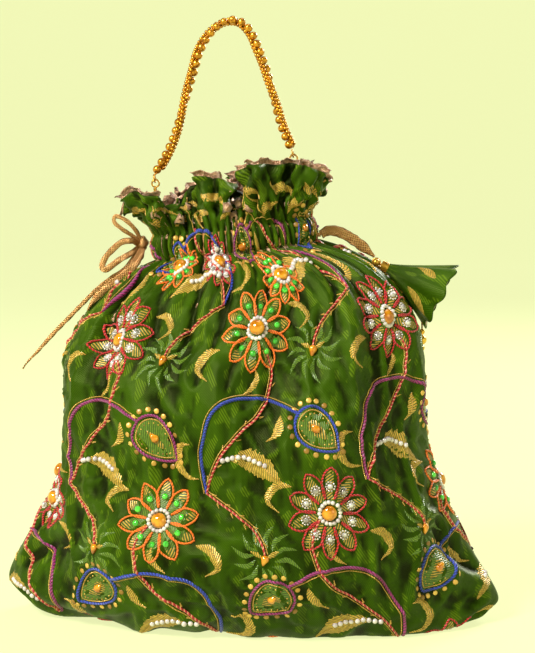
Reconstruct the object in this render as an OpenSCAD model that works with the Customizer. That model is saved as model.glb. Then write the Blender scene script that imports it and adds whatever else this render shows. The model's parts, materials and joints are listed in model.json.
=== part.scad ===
// Drawstring gift sack: brocade pouch, gathered neck, ruffled frill, bead handle and tassel.
// Millimetres, +Z up, the embroidered front faces -Y, origin on the floor under the middle.

/* [Sack] */
// Width across the two lower corners
corner_width = 250; // [208:1:300]
// Width at the waist, above the corners
waist_width = 192; // [160:1:231]
// Width across the shoulders
shoulder_width = 162; // [135:1:195]
// Depth of the full belly, front to back
belly_depth = 140; // [116:1:168]
// Depth of the foot that rests on the floor
foot_depth = 92; // [76:1:111]
// Height of the seam where the pouch meets the casing
neck_height = 192; // [160:1:231]
// Thickness of the embroidered brocade
brocade = 1.4; // [1.1:0.1:1.7]
// Thickness of the tissue lining
tissue = 0.8; // [0.6:0.1:1]

/* [Neck] */
// Width of the drawn neck
neck_width = 82; // [68:1:99]
// Depth of the drawn neck
neck_depth = 42; // [35:1:51]
// How far the neck leans to the left of the middle
neck_shift = 8; // [6:0.5:10]
// Slope of the neck, rising to the right, in degrees
neck_tilt = 6.8; // [5.5:0.1:8.2]
// Height of the casing that holds the drawstrings
casing_height = 13; // [10.8:0.1:15.6]
// Gap between the casing's halves, where the ribbons come out
slot_width = 3; // [2.5:0.1:3.6]

/* [Frill] */
// Height of the frill above the casing
frill_height = 28; // [23:1:34]
// How far the frill flares outwards
frill_flare = 10; // [8:0.5:12]
// Depth of the ruffles
ruffle_depth = 3; // [2:0.5:3.6]
// How far the tissue edging shows above the frill
edging_show = 1.6; // [1.3:0.1:2]

/* [Handle] */
// Diameter of the large handle beads
handle_bead = 4; // [3.3:0.1:4.8]
// Diameter of the small handle beads
handle_seed = 2; // [1.6:0.1:2.4]
// Diameter of the handle's core thread
core_thread = 1; // [0.8:0.1:1.2]
// Height of the left anchor above the neck's seam
left_anchor_rise = 37; // [35:0.5:41]
// Height of the right anchor above the neck's seam
right_anchor_rise = 50; // [47:0.5:54]

/* [Drawstrings] */
// Thickness of the mesh ribbon
ribbon_thick = 0.8; // [0.7:0.1:1]
// Width of the ribbon at the bow and at the tassel
ribbon_width = 6; // [5:0.5:7]
// Travel of each drawstring when it is pulled
pull_travel = 8; // [7:0.5:9]
// Diameter of the bow's knot
knot_size = 7; // [6:0.5:8]

/* [Tassel] */
// Length of the tassel's cone
cone_length = 27; // [22:1:33]
// Diameter of the cone's mouth
cone_mouth = 36; // [30:1:43]
// Wall of the tassel's cone
cone_wall = 1.2; // [1:0.1:1.4]
// Diameter of the tassel's large beads
tassel_bead = 5; // [4.2:0.1:5.4]

/* [Stones] */
// Diameter of the flower's centre stone
amber_stone = 6.4; // [5.4:0.1:7.6]
// Diameter of the seed-bead ring round a centre stone
seed_ring = 11.5; // [10:0.5:13.5]
// Diameter of a petal stone
petal_stone = 3; // [2.5:0.1:3.6]
// Radius at which the petal stones sit
petal_radius = 13; // [11:0.5:15]

/* [Hidden] */
$fn = 32;

brocade_green = [0.24, 0.42, 0.07];
tissue_pink = [0.80, 0.62, 0.52];
bead_gold = [0.86, 0.64, 0.18];
mesh_copper = [0.72, 0.48, 0.26];

front = -1;
back = 1;
gap = 0.3;
lining_set_in = brocade + gap;

// Stations up the pouch. Each holds: height at the side seam, half width, height at the middle,
// half depth, shift to the left, squareness of the plan, slope across, and how late the height
// rises from the middle to the seam.
neck_slope = tan(neck_tilt);
stations = [
    [8, corner_width / 2 - 15, 0, 0, 0, 1.5, 0, 6],
    [24, corner_width / 2, 0, foot_depth / 2, 0, 1.4, 0, 6],
    [46, corner_width / 2 - 8, 34, belly_depth / 2, 0, 1.2, 0, 3],
    [84, waist_width / 2, 84, belly_depth / 2 - 1, 1, 1, 0, 2],
    [neck_height - 62, waist_width / 2 - 3, neck_height - 64, belly_depth / 2 - 8, 4, 0.9, 0, 2],
    [neck_height - 31, shoulder_width / 2, neck_height - 30, belly_depth / 2 - 22, 2, 0.85, 0.02, 2],
    [neck_height - 11, neck_width / 2 + 21, neck_height - 10, neck_depth / 2 + 11, 1, 0.8, 0.05, 2],
    [neck_height, neck_width / 2, neck_height, neck_depth / 2, neck_shift, 0.8, neck_slope, 2]
];
last_station = len(stations) - 1;
steps_between = 3;
panel_rows = last_station * steps_between;
panel_columns = 22;

// A smooth curve through values a, b, c, d, between b and c
function smooth(a, b, c, d, s) =
    0.5 * (2 * b + (c - a) * s + (2 * a - 5 * b + 4 * c - d) * s * s
        + (3 * b - a - 3 * c + d) * s * s * s);
function held(list, k) = list[max(0, min(k, len(list) - 1))];
function along(list, t) =
    let (k = max(0, min(floor(t), len(list) - 2)))
    smooth(held(list, k - 1), held(list, k), held(list, k + 1), held(list, k + 2), t - k);

// Point on the pouch: u runs -1 to 1 across, t up the stations, inset goes into the cloth
function pouch(side, u, t, inset) =
    let (
        s = along(stations, t),
        a = 90 * u,
        wide = s[1] - inset,
        deep = t <= 0 ? 0 : max(s[3] - inset, 0),
        lift = inset * max(0, 1 - t / 2),
        x = wide * sin(a) - s[4],
        z = max(s[2], 0) + (s[0] - max(s[2], 0)) * pow(abs(sin(a)), s[7]) + lift
    )
    [x, side * deep * pow(abs(cos(a)) < 0.001 ? 0 : cos(a), s[5]), z + s[6] * (x + s[4])];

// Outward normal of the pouch at u, t
function pouch_normal(side, u, t) =
    let (
        e = 0.02,
        across = pouch(side, u + e, t, 0) - pouch(side, u - e, t, 0),
        up = pouch(side, u, t + e, 0) - pouch(side, u, t - e, 0),
        n = side * cross(up, across)
    )
    n / norm(n);

// u, t of the place on the pouch that shows at x, z from the front
function place(x, z, u = 0, t = 3, tries = 24) =
    tries == 0 ? [u, t] :
    let (
        p = pouch(front, u, t, 0),
        s = along(stations, t),
        reach = (x + s[4]) / s[1],
        next_u = asin(max(-0.985, min(0.985, reach))) / 90,
        next_t = max(0.3, min(last_station, t + (z - p[2]) / 46))
    )
    place(x, z, next_u, next_t, tries - 1);

// Closed solid between two grids of points, outer and inner, wound for the front or the back
module slab(outer, inner, flip) {
    rows = len(outer);
    columns = len(outer[0]);
    points = [for (grid = [outer, inner]) for (row = grid) for (p = row) p];
    half = rows * columns;
    function id(layer, r, c) = layer * half + r * columns + c;
    function quad(a, b, c, d) = [[a, b, c], [a, c, d]];
    faces = [
        for (r = [0:rows - 2]) for (c = [0:columns - 2]) for (f = concat(
            quad(id(0, r, c), id(0, r + 1, c), id(0, r + 1, c + 1), id(0, r, c + 1)),
            quad(id(1, r, c), id(1, r, c + 1), id(1, r + 1, c + 1), id(1, r + 1, c)))) f,
        for (c = [0:columns - 2]) for (f = concat(
            quad(id(0, 0, c), id(0, 0, c + 1), id(1, 0, c + 1), id(1, 0, c)),
            quad(id(0, rows - 1, c), id(1, rows - 1, c),
                id(1, rows - 1, c + 1), id(0, rows - 1, c + 1)))) f,
        for (r = [0:rows - 2]) for (f = concat(
            quad(id(0, r, 0), id(1, r, 0), id(1, r + 1, 0), id(0, r + 1, 0)),
            quad(id(0, r, columns - 1), id(0, r + 1, columns - 1),
                id(1, r + 1, columns - 1), id(1, r, columns - 1)))) f
    ];
    polyhedron(points, [for (f = faces) flip ? [f[2], f[1], f[0]] : f], convexity = 8);
}

function pouch_grid(side, inset) = [
    for (r = [0:panel_rows]) [
        for (c = [0:panel_columns]) pouch(side, 2 * c / panel_columns - 1, r / steps_between, inset)
    ]
];

module pouch_layer(side, near, far) {
    slab(pouch_grid(side, near), pouch_grid(side, far), side == back);
}

module front_panel() { color(brocade_green) pouch_layer(front, 0, brocade); }
module back_panel() { color(brocade_green) pouch_layer(back, 0, brocade); }
module front_lining() {
    color(tissue_pink) pouch_layer(front, lining_set_in, lining_set_in + tissue);
}
module back_lining() {
    color(tissue_pink) pouch_layer(back, lining_set_in, lining_set_in + tissue);
}

// The neck's own frame: origin in the middle of the casing's lower face, sloping to the right
module at_neck() {
    translate([-neck_shift, 0, neck_height]) rotate([0, -neck_tilt, 0]) children();
}

function neck_to_part(x, z) = [
    -neck_shift + x * cos(neck_tilt) - z * sin(neck_tilt), 0,
    neck_height + x * sin(neck_tilt) + z * cos(neck_tilt)
];

// Plan of the neck, moved outwards by out
neck_squareness = 0.8;
function neck_point(a, out) = [
    (neck_width / 2 + out) * cos(a),
    (neck_depth / 2 + out) * sign(sin(a)) * pow(abs(sin(a)), neck_squareness)
];
plan_step = 10;
module neck_plan(out) {
    polygon([for (a = [0:plan_step:360 - plan_step]) neck_point(a, out)]);
}
module neck_band(outside, inside, low, high) {
    translate([0, 0, low]) linear_extrude(high - low) difference() {
        neck_plan(outside);
        neck_plan(inside);
    }
}

casing_out = 2.2;
casing_in = 2.8;
casing_wall = 0.9;
module casing_half(side) {
    span = 2 * neck_width;
    at_neck() intersection() {
        difference() {
            neck_band(casing_out, -casing_in, 0, casing_height);
            neck_band(casing_out - casing_wall, -casing_in + casing_wall,
                casing_wall, casing_height - casing_wall);
        }
        translate([-span / 2, side == front ? -span - slot_width / 2 : slot_width / 2, -1])
            cube([span, span, casing_height + 2]);
    }
}
module front_casing() { color(brocade_green) casing_half(front); }
module back_casing() { color(brocade_green) casing_half(back); }

// The two drawstrings lie one above the other in the casing; each is open at its own slot
loop_height = (casing_height - 2 * casing_wall - 3 * gap) / 2;
lower_level = casing_wall + gap;
upper_level = lower_level + loop_height + gap;
loop_out = 0.2;
opening_at_slot = slot_width + 5;
module drawstring_loop(level, slot_side) {
    color(mesh_copper) at_neck() difference() {
        neck_band(loop_out, loop_out - ribbon_thick, level, level + loop_height);
        translate([slot_side * neck_width / 2 - 6, -opening_at_slot / 2, 0])
            cube([12, opening_at_slot, casing_height]);
    }
}
module left_drawstring_loop() { drawstring_loop(upper_level, -1); }
module right_drawstring_loop() { drawstring_loop(lower_level, 1); }

// Frill: v runs up it, a round it. It leans left, stands higher at the right, and ruffles.
frill_rows = 7;
frill_columns = 36;
ruffles = 7;
function frill_point(a, v, out, extra) =
    let (
        open = frill_flare * pow(v, 1.3) * (1 - 0.5 * cos(a))
            + ruffle_depth * v * sin(ruffles * a + 20),
        p = neck_point(a, out + open),
        rise = (frill_height + 3.5 * cos(a) + 1.5 * sin(5 * a)) * v + extra * v
    )
    [p[0], p[1], casing_height + rise];
function frill_grid(side, out, extra) = [
    for (r = [0:frill_rows]) [
        for (c = [0:frill_columns])
            let (a = side == front ? 180 + 180 * c / frill_columns : 180 - 180 * c / frill_columns)
            frill_point(a, r / frill_rows, out, extra)
    ]
];
module frill_layer(side, near, far, extra) {
    at_neck() slab(frill_grid(side, near, extra), frill_grid(side, far, extra), side == back);
}
module front_frill() { color(brocade_green) frill_layer(front, 0, -brocade, 0); }
module back_frill() { color(brocade_green) frill_layer(back, 0, -brocade, 0); }
module front_edging() {
    color(tissue_pink)
        frill_layer(front, -lining_set_in, -lining_set_in - tissue, edging_show);
}
module back_edging() {
    color(tissue_pink)
        frill_layer(back, -lining_set_in, -lining_set_in - tissue, edging_show);
}

// How far each ribbon exit moves when the neck's or the casing's size is changed. What hangs from
// an exit moves with it, so the routes below hold for any neck.
slot_x = neck_width / 2;
left_exit = neck_to_part(-slot_x - casing_out, upper_level + loop_height / 2);
right_exit = neck_to_part(slot_x + casing_out, lower_level + loop_height / 2);
left_move = left_exit - [-51.99, 0, 196.05];
right_move = right_exit - [34.45, 0, 200.86];

// What rests beside the shoulders moves outwards with them, or with a wider neck, and never
// inwards. A ribbon starts at its exit and ends with what rests: the share of the second move
// grows along it, faster with a higher pace.
drawn_shoulder = 162;
shoulder_spread = max(0, shoulder_width - drawn_shoulder) / 2;
left_rest = [min(0, left_move[0]) - shoulder_spread, 0, left_move[2]];
tassel_move = [max(0, right_move[0]) + shoulder_spread, 0, right_move[2]];
function carried(route, move, rest, pace = 1) =
    let (last = len(route) - 1)
    [for (k = [0:last])
        let (share = pow(min(1, pace * k / last), 2))
        route[k] + move * (1 - share) + rest * share];

// Handle: the hinge line runs through the two anchor rings
left_anchor = [-50 + left_move[0], 0, neck_height + left_anchor_rise];
right_anchor = [22 + right_move[0], 0, neck_height + right_anchor_rise];
hinge_span = right_anchor - left_anchor;
hinge_tilt = atan(hinge_span[2] / hinge_span[0]);
ring_radius = 1.9;
ring_wire = 0.45;
ring_play = 0.3;
post_radius = 0.9;
module ring() { rotate_extrude() translate([ring_radius, 0]) circle(ring_wire); }

// An anchor ring stands along the hinge line, with a straight pivot wire at its top
pivot_half = 1.2;
module handle_anchor_rings() {
    color(bead_gold) for (p = [left_anchor, right_anchor])
        translate(p) rotate([0, -hinge_tilt, 0]) {
            translate([0, 0, -ring_radius]) rotate([90, 0, 0]) ring();
            rotate([0, 90, 0]) cylinder(h = 2 * pivot_half, r = ring_wire, center = true);
        }
}
// A handle ring hangs across the hinge line, round the anchor ring's top wire
handle_ring_lift = ring_radius - 2 * ring_wire - ring_play;
module handle_end_rings() {
    color(bead_gold) for (p = [left_anchor, right_anchor])
        translate(p) rotate([0, -hinge_tilt, 0])
            translate([0, 0, handle_ring_lift]) rotate([0, 90, 0]) ring();
}
// Stitched posts from the inside of the casing up to the anchor rings
module rod(from, to, radius) {
    d = to - from;
    translate(from) rotate([0, acos(d[2] / norm(d)), atan2(d[1], d[0])])
        cylinder(h = norm(d), r = radius);
}
// The foot of each post is a bar stitched across the slot, on the casing's inner face
bar_radius = 1;
bar_length = 8;
bar_x = neck_width / 2 - casing_in - bar_radius - 0.5;
bar_height = casing_height - 2;
module handle_anchors() {
    ring_foot = 2 * ring_radius + ring_wire;
    color(bead_gold) for (side = [-1, 1]) {
        foot = neck_to_part(side * bar_x, bar_height);
        rod(foot, (side < 0 ? left_anchor : right_anchor) - [0, 0, ring_foot], post_radius);
        translate(foot) rotate([90, 0, 0]) cylinder(h = bar_length, r = bar_radius, center = true);
    }
}

// The arch that the handle stands in, from the left end ring to the right one, in x and z
function arch(x, rise) = [x, neck_height + rise];
handle_route = [
    [left_anchor[0], left_anchor[2] + ring_radius + handle_ring_lift],
    arch(-45, 47), arch(-41, 55), arch(-38, 63.5), arch(-35.5, 73), arch(-33, 82.5), arch(-30, 93),
    arch(-27.5, 102), arch(-23, 110), arch(-17, 116), arch(-11, 118.5), arch(-5, 117.5), arch(0, 112),
    arch(3.5, 104), arch(7, 95.5), arch(10, 86), arch(13, 76.5), arch(16, 66.5), arch(19, 59),
    [right_anchor[0], right_anchor[2] + ring_radius + handle_ring_lift]
];
function stand(p) = [p[0], 0, p[1]];

// Tube of 8 sides, or a flat strip of 4, swept along points
function unit(v) = v / norm(v);
function heading(path, k) = unit(held(path, k + 1) - held(path, k - 1));
function taper(k, count, ends) = min(1, ends + (1 - ends) * (count - 1 - k) / 3);
module sweep(path, section, across, ends = 1) {
    sides = len(section);
    rings = [
        for (k = [0:len(path) - 1])
            let (h = heading(path, k), n = unit(cross(h, across)), w = cross(n, h))
            [for (s = section) path[k] + w * s[0] + n * s[1] * taper(k, len(path), ends)]
    ];
    points = [for (ring_points = rings) for (p = ring_points) p];
    last = (len(path) - 1) * sides;
    faces = concat(
        [for (k = [1:sides - 2]) [0, k, k + 1]],
        [for (k = [1:sides - 2]) [last, last + k + 1, last + k]],
        [for (r = [0:len(path) - 2]) for (s = [0:sides - 1])
            let (a = r * sides + s, b = r * sides + (s + 1) % sides)
            for (f = [[a, a + sides, b + sides], [a, b + sides, b]]) f]
    );
    polyhedron(points, faces, convexity = 8);
}
tube_sides = 8;
function round_section(radius) =
    [for (k = [0:tube_sides - 1]) radius * [cos(45 * k), sin(45 * k)]];
function flat_section(width, thick) = [
    [width / 2, thick / 2], [-width / 2, thick / 2], [-width / 2, -thick / 2], [width / 2, -thick / 2]
];

handle_points = [for (p = handle_route) stand(p)];
function lengths(path, k = 1, sum = 0, out = [0]) =
    k == len(path) ? out :
    let (next = sum + norm(path[k] - path[k - 1])) lengths(path, k + 1, next, concat(out, [next]));
function point_at(path, marks, s, k = 0) =
    (k == len(path) - 2 || s <= marks[k + 1]) ?
        path[k] + (path[k + 1] - path[k]) * (s - marks[k]) / (marks[k + 1] - marks[k]) :
        point_at(path, marks, s, k + 1);
handle_marks = lengths(handle_points);
handle_length = handle_marks[len(handle_marks) - 1];
bead_clearance = 0.25;
bead_pitch = handle_bead + 2 * bead_clearance;
bead_start = handle_bead / 2 + 1.5;
bead_count = floor((handle_length - 2 * bead_start) / bead_pitch) + 1;
bead_hole = core_thread + 2 * bead_clearance;
module bead_on_handle(s, size, out, turn, drilled) {
    p = point_at(handle_points, handle_marks, s);
    q = point_at(handle_points, handle_marks, s + 0.1);
    h = unit(q - p);
    translate(p) rotate([0, atan2(h[0], h[2]), 0]) rotate([0, 0, turn]) translate([out, 0, 0])
        difference() {
            sphere(d = size);
            if (drilled) cylinder(h = size + 1, d = bead_hole, center = true);
        }
}
module handle_core() {
    color(bead_gold) sweep(handle_points, round_section(core_thread / 2), [0, 1, 0]);
}
module handle_beads_large() {
    color(bead_gold) for (k = [0:bead_count - 1])
        bead_on_handle(bead_start + k * bead_pitch, handle_bead, 0, 0, true);
}
// Small beads lie in the grooves between the large ones, two to a groove, winding round
seed_out = sqrt(pow(handle_bead / 2 + handle_seed / 2 + bead_clearance, 2) - pow(bead_pitch / 2, 2));
winding = 50;
module handle_beads_small() {
    color(bead_gold) for (k = [0:bead_count - 2]) for (turn = [0, 180])
        bead_on_handle(bead_start + (k + 0.5) * bead_pitch, handle_seed, seed_out,
            turn + winding * k, false);
}

// Drawstring ends: a stub slides in each slot, and the rest rides with it
stub_inside = pull_travel + 2;
stub_height = loop_height - 3;
module stub(exit, direction, out) {
    translate([exit[0] - (direction > 0 ? stub_inside : out), -ribbon_thick / 2, exit[2] - stub_height / 2])
        cube([stub_inside + out, ribbon_thick, stub_height]);
}
knot_reach = 1;
knot_middle = left_exit - [knot_reach + knot_size / 2, 0, 0];
module left_stub() { color(mesh_copper) stub(left_exit, -1, knot_reach); }
module left_knot() { color(mesh_copper) translate(knot_middle) sphere(d = knot_size); }
ribbon_start = 2;
module right_stub() { color(mesh_copper) stub(right_exit, 1, ribbon_start); }

// Routes of the ribbons, chosen by hand
bow_upper_route = [[-57, -2, 197.5], [-60, -6, 204], [-64, -7, 208], [-67.5, -7.5, 210], [-70, -7.5, 210],
    [-70, -7.5, 207], [-66, -7, 203.5], [-61, -4.5, 200], [-57.5, -2, 196.5]];
bow_lower_route = [[-58, -1, 195], [-61, -7, 197.5], [-66, -9, 197], [-71, -10.5, 193], [-75, -11.5, 188],
    [-76, -12, 184], [-74, -12.5, 183], [-71, -12, 185], [-67, -10, 188], [-62, -6, 191], [-57.5, -1, 194.5]];
short_tail_route = [[-56.5, -1.5, 194], [-57.5, -7, 189.5], [-60, -12, 184.5], [-65, -14, 180], [-70, -15, 176],
    [-75, -16, 172], [-80, -16, 167], [-83, -15, 162]];
long_tail_route = [[-57.5, -1, 194.5], [-60, -4, 190], [-65, -8, 183], [-71, -8.5, 179], [-77, -9, 174.5],
    [-83, -9, 169], [-88, -8.5, 164], [-93, -8, 159], [-98, -7.5, 154], [-103, -7, 149], [-108, -6.5, 143.5],
    [-113, -6, 138], [-117, -5.5, 134], [-120, -5, 130]];
right_ribbon_route = [[36.45, 0, 200.86], [40, 0.5, 202.8], [44.5, 1, 202.6],
    [49, 2, 200.8], [53.5, 3, 198], [57.5, 4, 195], [61, 5, 192], [64, 6, 189.3]];
facing = [0, 1, 0];
gathered_end = 0.3;
module flat_ribbon(route, move, rest, width, ends = 1, pace = 1) {
    color(mesh_copper)
        sweep(carried(route, move, rest, pace), flat_section(ribbon_thick, width), facing, ends);
}
module bow_loop_upper() { flat_ribbon(bow_upper_route, left_move, left_move, ribbon_width / 3); }
module bow_loop_lower() { flat_ribbon(bow_lower_route, left_move, left_move, ribbon_width / 2); }
module left_tail_short() {
    flat_ribbon(short_tail_route, left_move, left_rest, ribbon_width * 0.7);
}
long_tail_pace = 2;
module left_tail_long() {
    flat_ribbon(long_tail_route, left_move, left_rest, ribbon_width / 3, pace = long_tail_pace);
}
module right_ribbon() {
    flat_ribbon(right_ribbon_route, right_move, tassel_move, ribbon_width, gathered_end);
}

// Tassel: it hangs from an eye at the ribbon's end and rests outwards over the shoulder
tassel_y = 6;
tassel_pivot = [65, tassel_y, 186.5] + tassel_move;
tassel_lean = 117;
eye_radius = 1.9;
eye_wire = 0.5;
module tassel_eye() {
    color(bead_gold) translate(tassel_pivot) rotate([90, 0, 0]) rotate_extrude()
        translate([eye_radius, 0]) circle(eye_wire);
}
module at_tassel() { translate(tassel_pivot) rotate([0, tassel_lean, 0]) children(); }
pin_play = 0.08;
module tassel_ring() {
    pin = eye_radius - eye_wire - pin_play;
    color(bead_gold) translate(tassel_pivot) rotate([90, 0, 0]) {
        cylinder(h = 4, r = pin, center = true);
        for (side = [-1, 1]) translate([0, 0, side * 2]) sphere(r = pin + 0.6);
    }
}
cap_start = 2.9;
cap_length = 4;
cap_radius = 2.6;
module tassel_cap() {
    color(mesh_copper) {
        at_tassel() translate([0, 0, cap_start]) cylinder(h = cap_length, r = cap_radius);
        for (side = [-1, 1]) {
            side_at = [0, side * 2, 0];
            rod(tassel_pivot + side_at + [sin(tassel_lean), 0, cos(tassel_lean)] * 1.9,
                tassel_pivot + side_at / 2 + [sin(tassel_lean), 0, cos(tassel_lean)] * 3.4, 0.5);
        }
    }
}
cone_start = cap_start + cap_length;
module cone_shell(out, wall, long) {
    throat = cap_radius + out;
    mouth = cone_mouth / 2 + out;
    at_tassel() translate([0, 0, cone_start]) rotate_extrude() polygon([
        [throat - wall, 0], [throat, 0], [throat + 2, 4], [mouth, long], [mouth - wall, long],
        [throat + 2 - wall, 4 + wall]
    ]);
}
module tassel_cone() { color(brocade_green) cone_shell(0, cone_wall, cone_length); }
// The lining lies a gap inside the cone's inner face, from below the throat to near the rim
lining_low = 6;
function cone_inside(h) =
    let (low = cap_radius + 2 - cone_wall, rise = 4 + cone_wall)
    low + (cone_mouth / 2 - cone_wall - low) * (h - rise) / (cone_length - rise);
module tassel_cone_lining() {
    high = cone_length - 1;
    thick = 0.6;
    color(tissue_pink) at_tassel() translate([0, 0, cone_start]) rotate_extrude() polygon([
        [cone_inside(lining_low) - gap - thick, lining_low], [cone_inside(lining_low) - gap, lining_low],
        [cone_inside(high) - gap, high], [cone_inside(high) - gap - thick, high]
    ]);
}
// The bead thread leaves the cone over its lower rim and hangs straight down
drop_x = 89;
drop_z = 146;
small_drop = 3;
thread_route = [[71.5, tassel_y, 183.2], [75, tassel_y, 181], [79, tassel_y, 177.5],
    [82.5, tassel_y, 172.5], [85.5, tassel_y, 166.5], [87.6, tassel_y, 160.5], [88.8, tassel_y, 156],
    [drop_x, tassel_y, 152], [drop_x, tassel_y, 147], [drop_x, tassel_y, 142], [drop_x, tassel_y, 136]];
thread_size = 0.8;
module tassel_thread() {
    color(bead_gold)
        sweep(carried(thread_route, tassel_move, tassel_move), round_section(thread_size / 2), facing);
}
module drop_bead(z, size) {
    translate([drop_x, tassel_y, z] + tassel_move) difference() {
        sphere(d = size);
        cylinder(h = size + 1, d = thread_size + 2 * gap, center = true);
    }
}
module tassel_beads_large() { color(bead_gold) drop_bead(drop_z, tassel_bead); }
module tassel_beads_small() {
    apart = (tassel_bead + small_drop) / 2 + gap;
    color(bead_gold) for (side = [-1, 1]) drop_bead(drop_z + side * apart, small_drop);
}

// Sewn-on stones: each sits on the cloth where it shows at x, z when its side is looked at. The
// heights are for the drawn neck, and keep their share of the pouch when its height changes.
sides = [front, back];
drawn_neck = 192;
module on_cloth(side, x, z, lift = 0) {
    at = place(side == front ? x : -x, z * neck_height / drawn_neck);
    n = pouch_normal(side, at[0], at[1]);
    p = pouch(side, at[0], at[1], 0) + n * lift;
    translate(p) rotate([0, acos(n[2]), atan2(n[1], n[0])]) children();
}
module dome(size) {
    intersection() {
        sphere(d = size);
        translate([-size, -size, 0]) cube(2 * size);
    }
}
red_flowers = [[46, 65], [-58, 146], [70, 153], [-84, 72]];
orange_flowers = [[4, 153], [-45, 57]];
flowers = concat(red_flowers, orange_flowers);
eyes = [[45, 104], [-45, 98], [58, 176], [93, 16], [-104, 39], [12, 17]];
drops = [[-46, 135], [37, 141], [11, 41], [92, 50], [-74, 40]];
stone_rise = 0.15;
module amber_stones() {
    color([0.85, 0.56, 0.12]) for (side = sides, f = flowers)
        on_cloth(side, f[0], f[1], stone_rise) dome(amber_stone);
}
module seed_rings() {
    color([0.93, 0.9, 0.9]) for (side = sides, f = flowers)
        on_cloth(side, f[0], f[1], 1.1) rotate_extrude() translate([seed_ring / 2, 0]) circle(d = 1.8);
}
module petal_ring(side, x, z) {
    for (k = [0:9]) on_cloth(side, x + petal_radius * cos(36 * k), z + petal_radius * sin(36 * k), stone_rise)
        dome(petal_stone);
}
module green_petal_stones() {
    color([0.25, 0.75, 0.18]) for (side = sides, f = orange_flowers) petal_ring(side, f[0], f[1]);
}
module clear_petal_stones() {
    color([0.9, 0.9, 0.92]) for (side = sides)
        petal_ring(side, red_flowers[0][0], red_flowers[0][1]);
}
module eye_stones() {
    color([0.8, 0.6, 0.2]) for (side = sides, e = eyes) on_cloth(side, e[0], e[1], stone_rise) dome(4);
}
module drop_stones() {
    color([0.3, 0.65, 0.25]) for (side = sides, d = drops) on_cloth(side, d[0], d[1], stone_rise) dome(4.4);
}
bead_rows = [[-9, 14, 88], [-86, -73, 90], [-40, -24, 171], [26, 37, 168]];
module leaf_bead_rows() {
    color([0.93, 0.9, 0.9]) for (side = sides, b = bead_rows)
        for (x = [b[0]:2.6:b[1]])
            on_cloth(side, x, b[2] + 1.5 * sin(180 * (x - b[0]) / (b[1] - b[0])), stone_rise) dome(2);
}

front_panel();
back_panel();
front_lining();
back_lining();
front_casing();
back_casing();
front_frill();
back_frill();
front_edging();
back_edging();
left_drawstring_loop();
right_drawstring_loop();
handle_anchors();
handle_anchor_rings();
amber_stones();
seed_rings();
green_petal_stones();
clear_petal_stones();
eye_stones();
drop_stones();
leaf_bead_rows();
handle_core();
handle_end_rings();
handle_beads_large();
handle_beads_small();
left_stub();
left_knot();
bow_loop_upper();
bow_loop_lower();
left_tail_short();
left_tail_long();
right_stub();
right_ribbon();
tassel_eye();
tassel_ring();
tassel_cap();
tassel_cone();
tassel_cone_lining();
tassel_thread();
tassel_beads_large();
tassel_beads_small();
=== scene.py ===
"""Looks of the drawstring gift sack: gathered brocade, embroidery, bead handle, ribbons and tassel.

Lengths are millimetres in the working and become metres in the meshes. +Z is up and the front
faces -Y.
"""
from __future__ import annotations

import json
import logging
import math
from dataclasses import dataclass, field
from enum import Enum

import bmesh
import bpy
import numpy as np
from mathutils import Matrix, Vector

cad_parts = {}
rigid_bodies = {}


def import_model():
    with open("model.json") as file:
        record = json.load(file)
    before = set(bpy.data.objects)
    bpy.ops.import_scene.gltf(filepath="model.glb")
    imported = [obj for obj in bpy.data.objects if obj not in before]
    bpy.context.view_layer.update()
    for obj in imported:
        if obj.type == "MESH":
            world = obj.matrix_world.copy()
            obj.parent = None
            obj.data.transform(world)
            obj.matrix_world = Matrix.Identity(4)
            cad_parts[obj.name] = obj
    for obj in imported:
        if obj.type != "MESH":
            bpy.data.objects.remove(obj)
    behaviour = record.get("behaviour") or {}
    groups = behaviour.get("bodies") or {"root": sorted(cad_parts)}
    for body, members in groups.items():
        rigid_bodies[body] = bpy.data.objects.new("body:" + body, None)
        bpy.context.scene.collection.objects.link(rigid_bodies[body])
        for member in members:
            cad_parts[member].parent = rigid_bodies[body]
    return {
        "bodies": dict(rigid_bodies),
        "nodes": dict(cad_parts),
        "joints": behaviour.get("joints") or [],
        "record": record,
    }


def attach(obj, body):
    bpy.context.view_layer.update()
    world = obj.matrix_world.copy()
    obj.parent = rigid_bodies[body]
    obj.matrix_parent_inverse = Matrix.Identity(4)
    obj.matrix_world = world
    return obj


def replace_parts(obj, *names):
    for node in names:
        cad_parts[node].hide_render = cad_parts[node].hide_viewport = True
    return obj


MM = 0.001
LOG = logging.getLogger("gift_sack")
Array = np.ndarray
Socket = bpy.types.NodeSocket
Object = bpy.types.Object
Material = bpy.types.Material


class Side(Enum):
    """The two faces of the sack; the value is the sign of Y."""

    FRONT = -1
    BACK = 1


class Body(Enum):
    """The CAD bodies that pieces ride on."""

    SACK = "sack"
    HANDLE = "handle"
    LEFT = "left_drawstring"
    RIGHT = "right_drawstring"
    TASSEL = "tassel"


# ---------------------------------------------------------------- arithmetic of curves and noise


def ease(x: Array | float, low: float, high: float) -> Array:
    """Smooth step of x: 0 at low, 1 at high, 3s^2 - 2s^3 between."""
    s = np.clip((np.asarray(x, float) - low) / (high - low), 0, 1)
    return s * s * (3 - 2 * s)


def smooth_rows(knots: Array, at: Array) -> Array:
    """Catmull-Rom values through the rows of knots, with the end rows held.

    Args:
        knots: one row for each whole number of the parameter.
        at: parameters, any shape.

    Returns:
        One row of knots' width for each parameter.
    """
    count = len(knots)
    k = np.clip(np.floor(at).astype(int), 0, count - 2)
    s = (at - k)[..., None]
    a, b, c, d = (knots[np.clip(k + n, 0, count - 1)] for n in (-1, 0, 1, 2))
    return 0.5 * (2 * b + (c - a) * s + (2 * a - 5 * b + 4 * c - d) * s**2
                  + (3 * b - a - 3 * c + d) * s**3)


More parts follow.
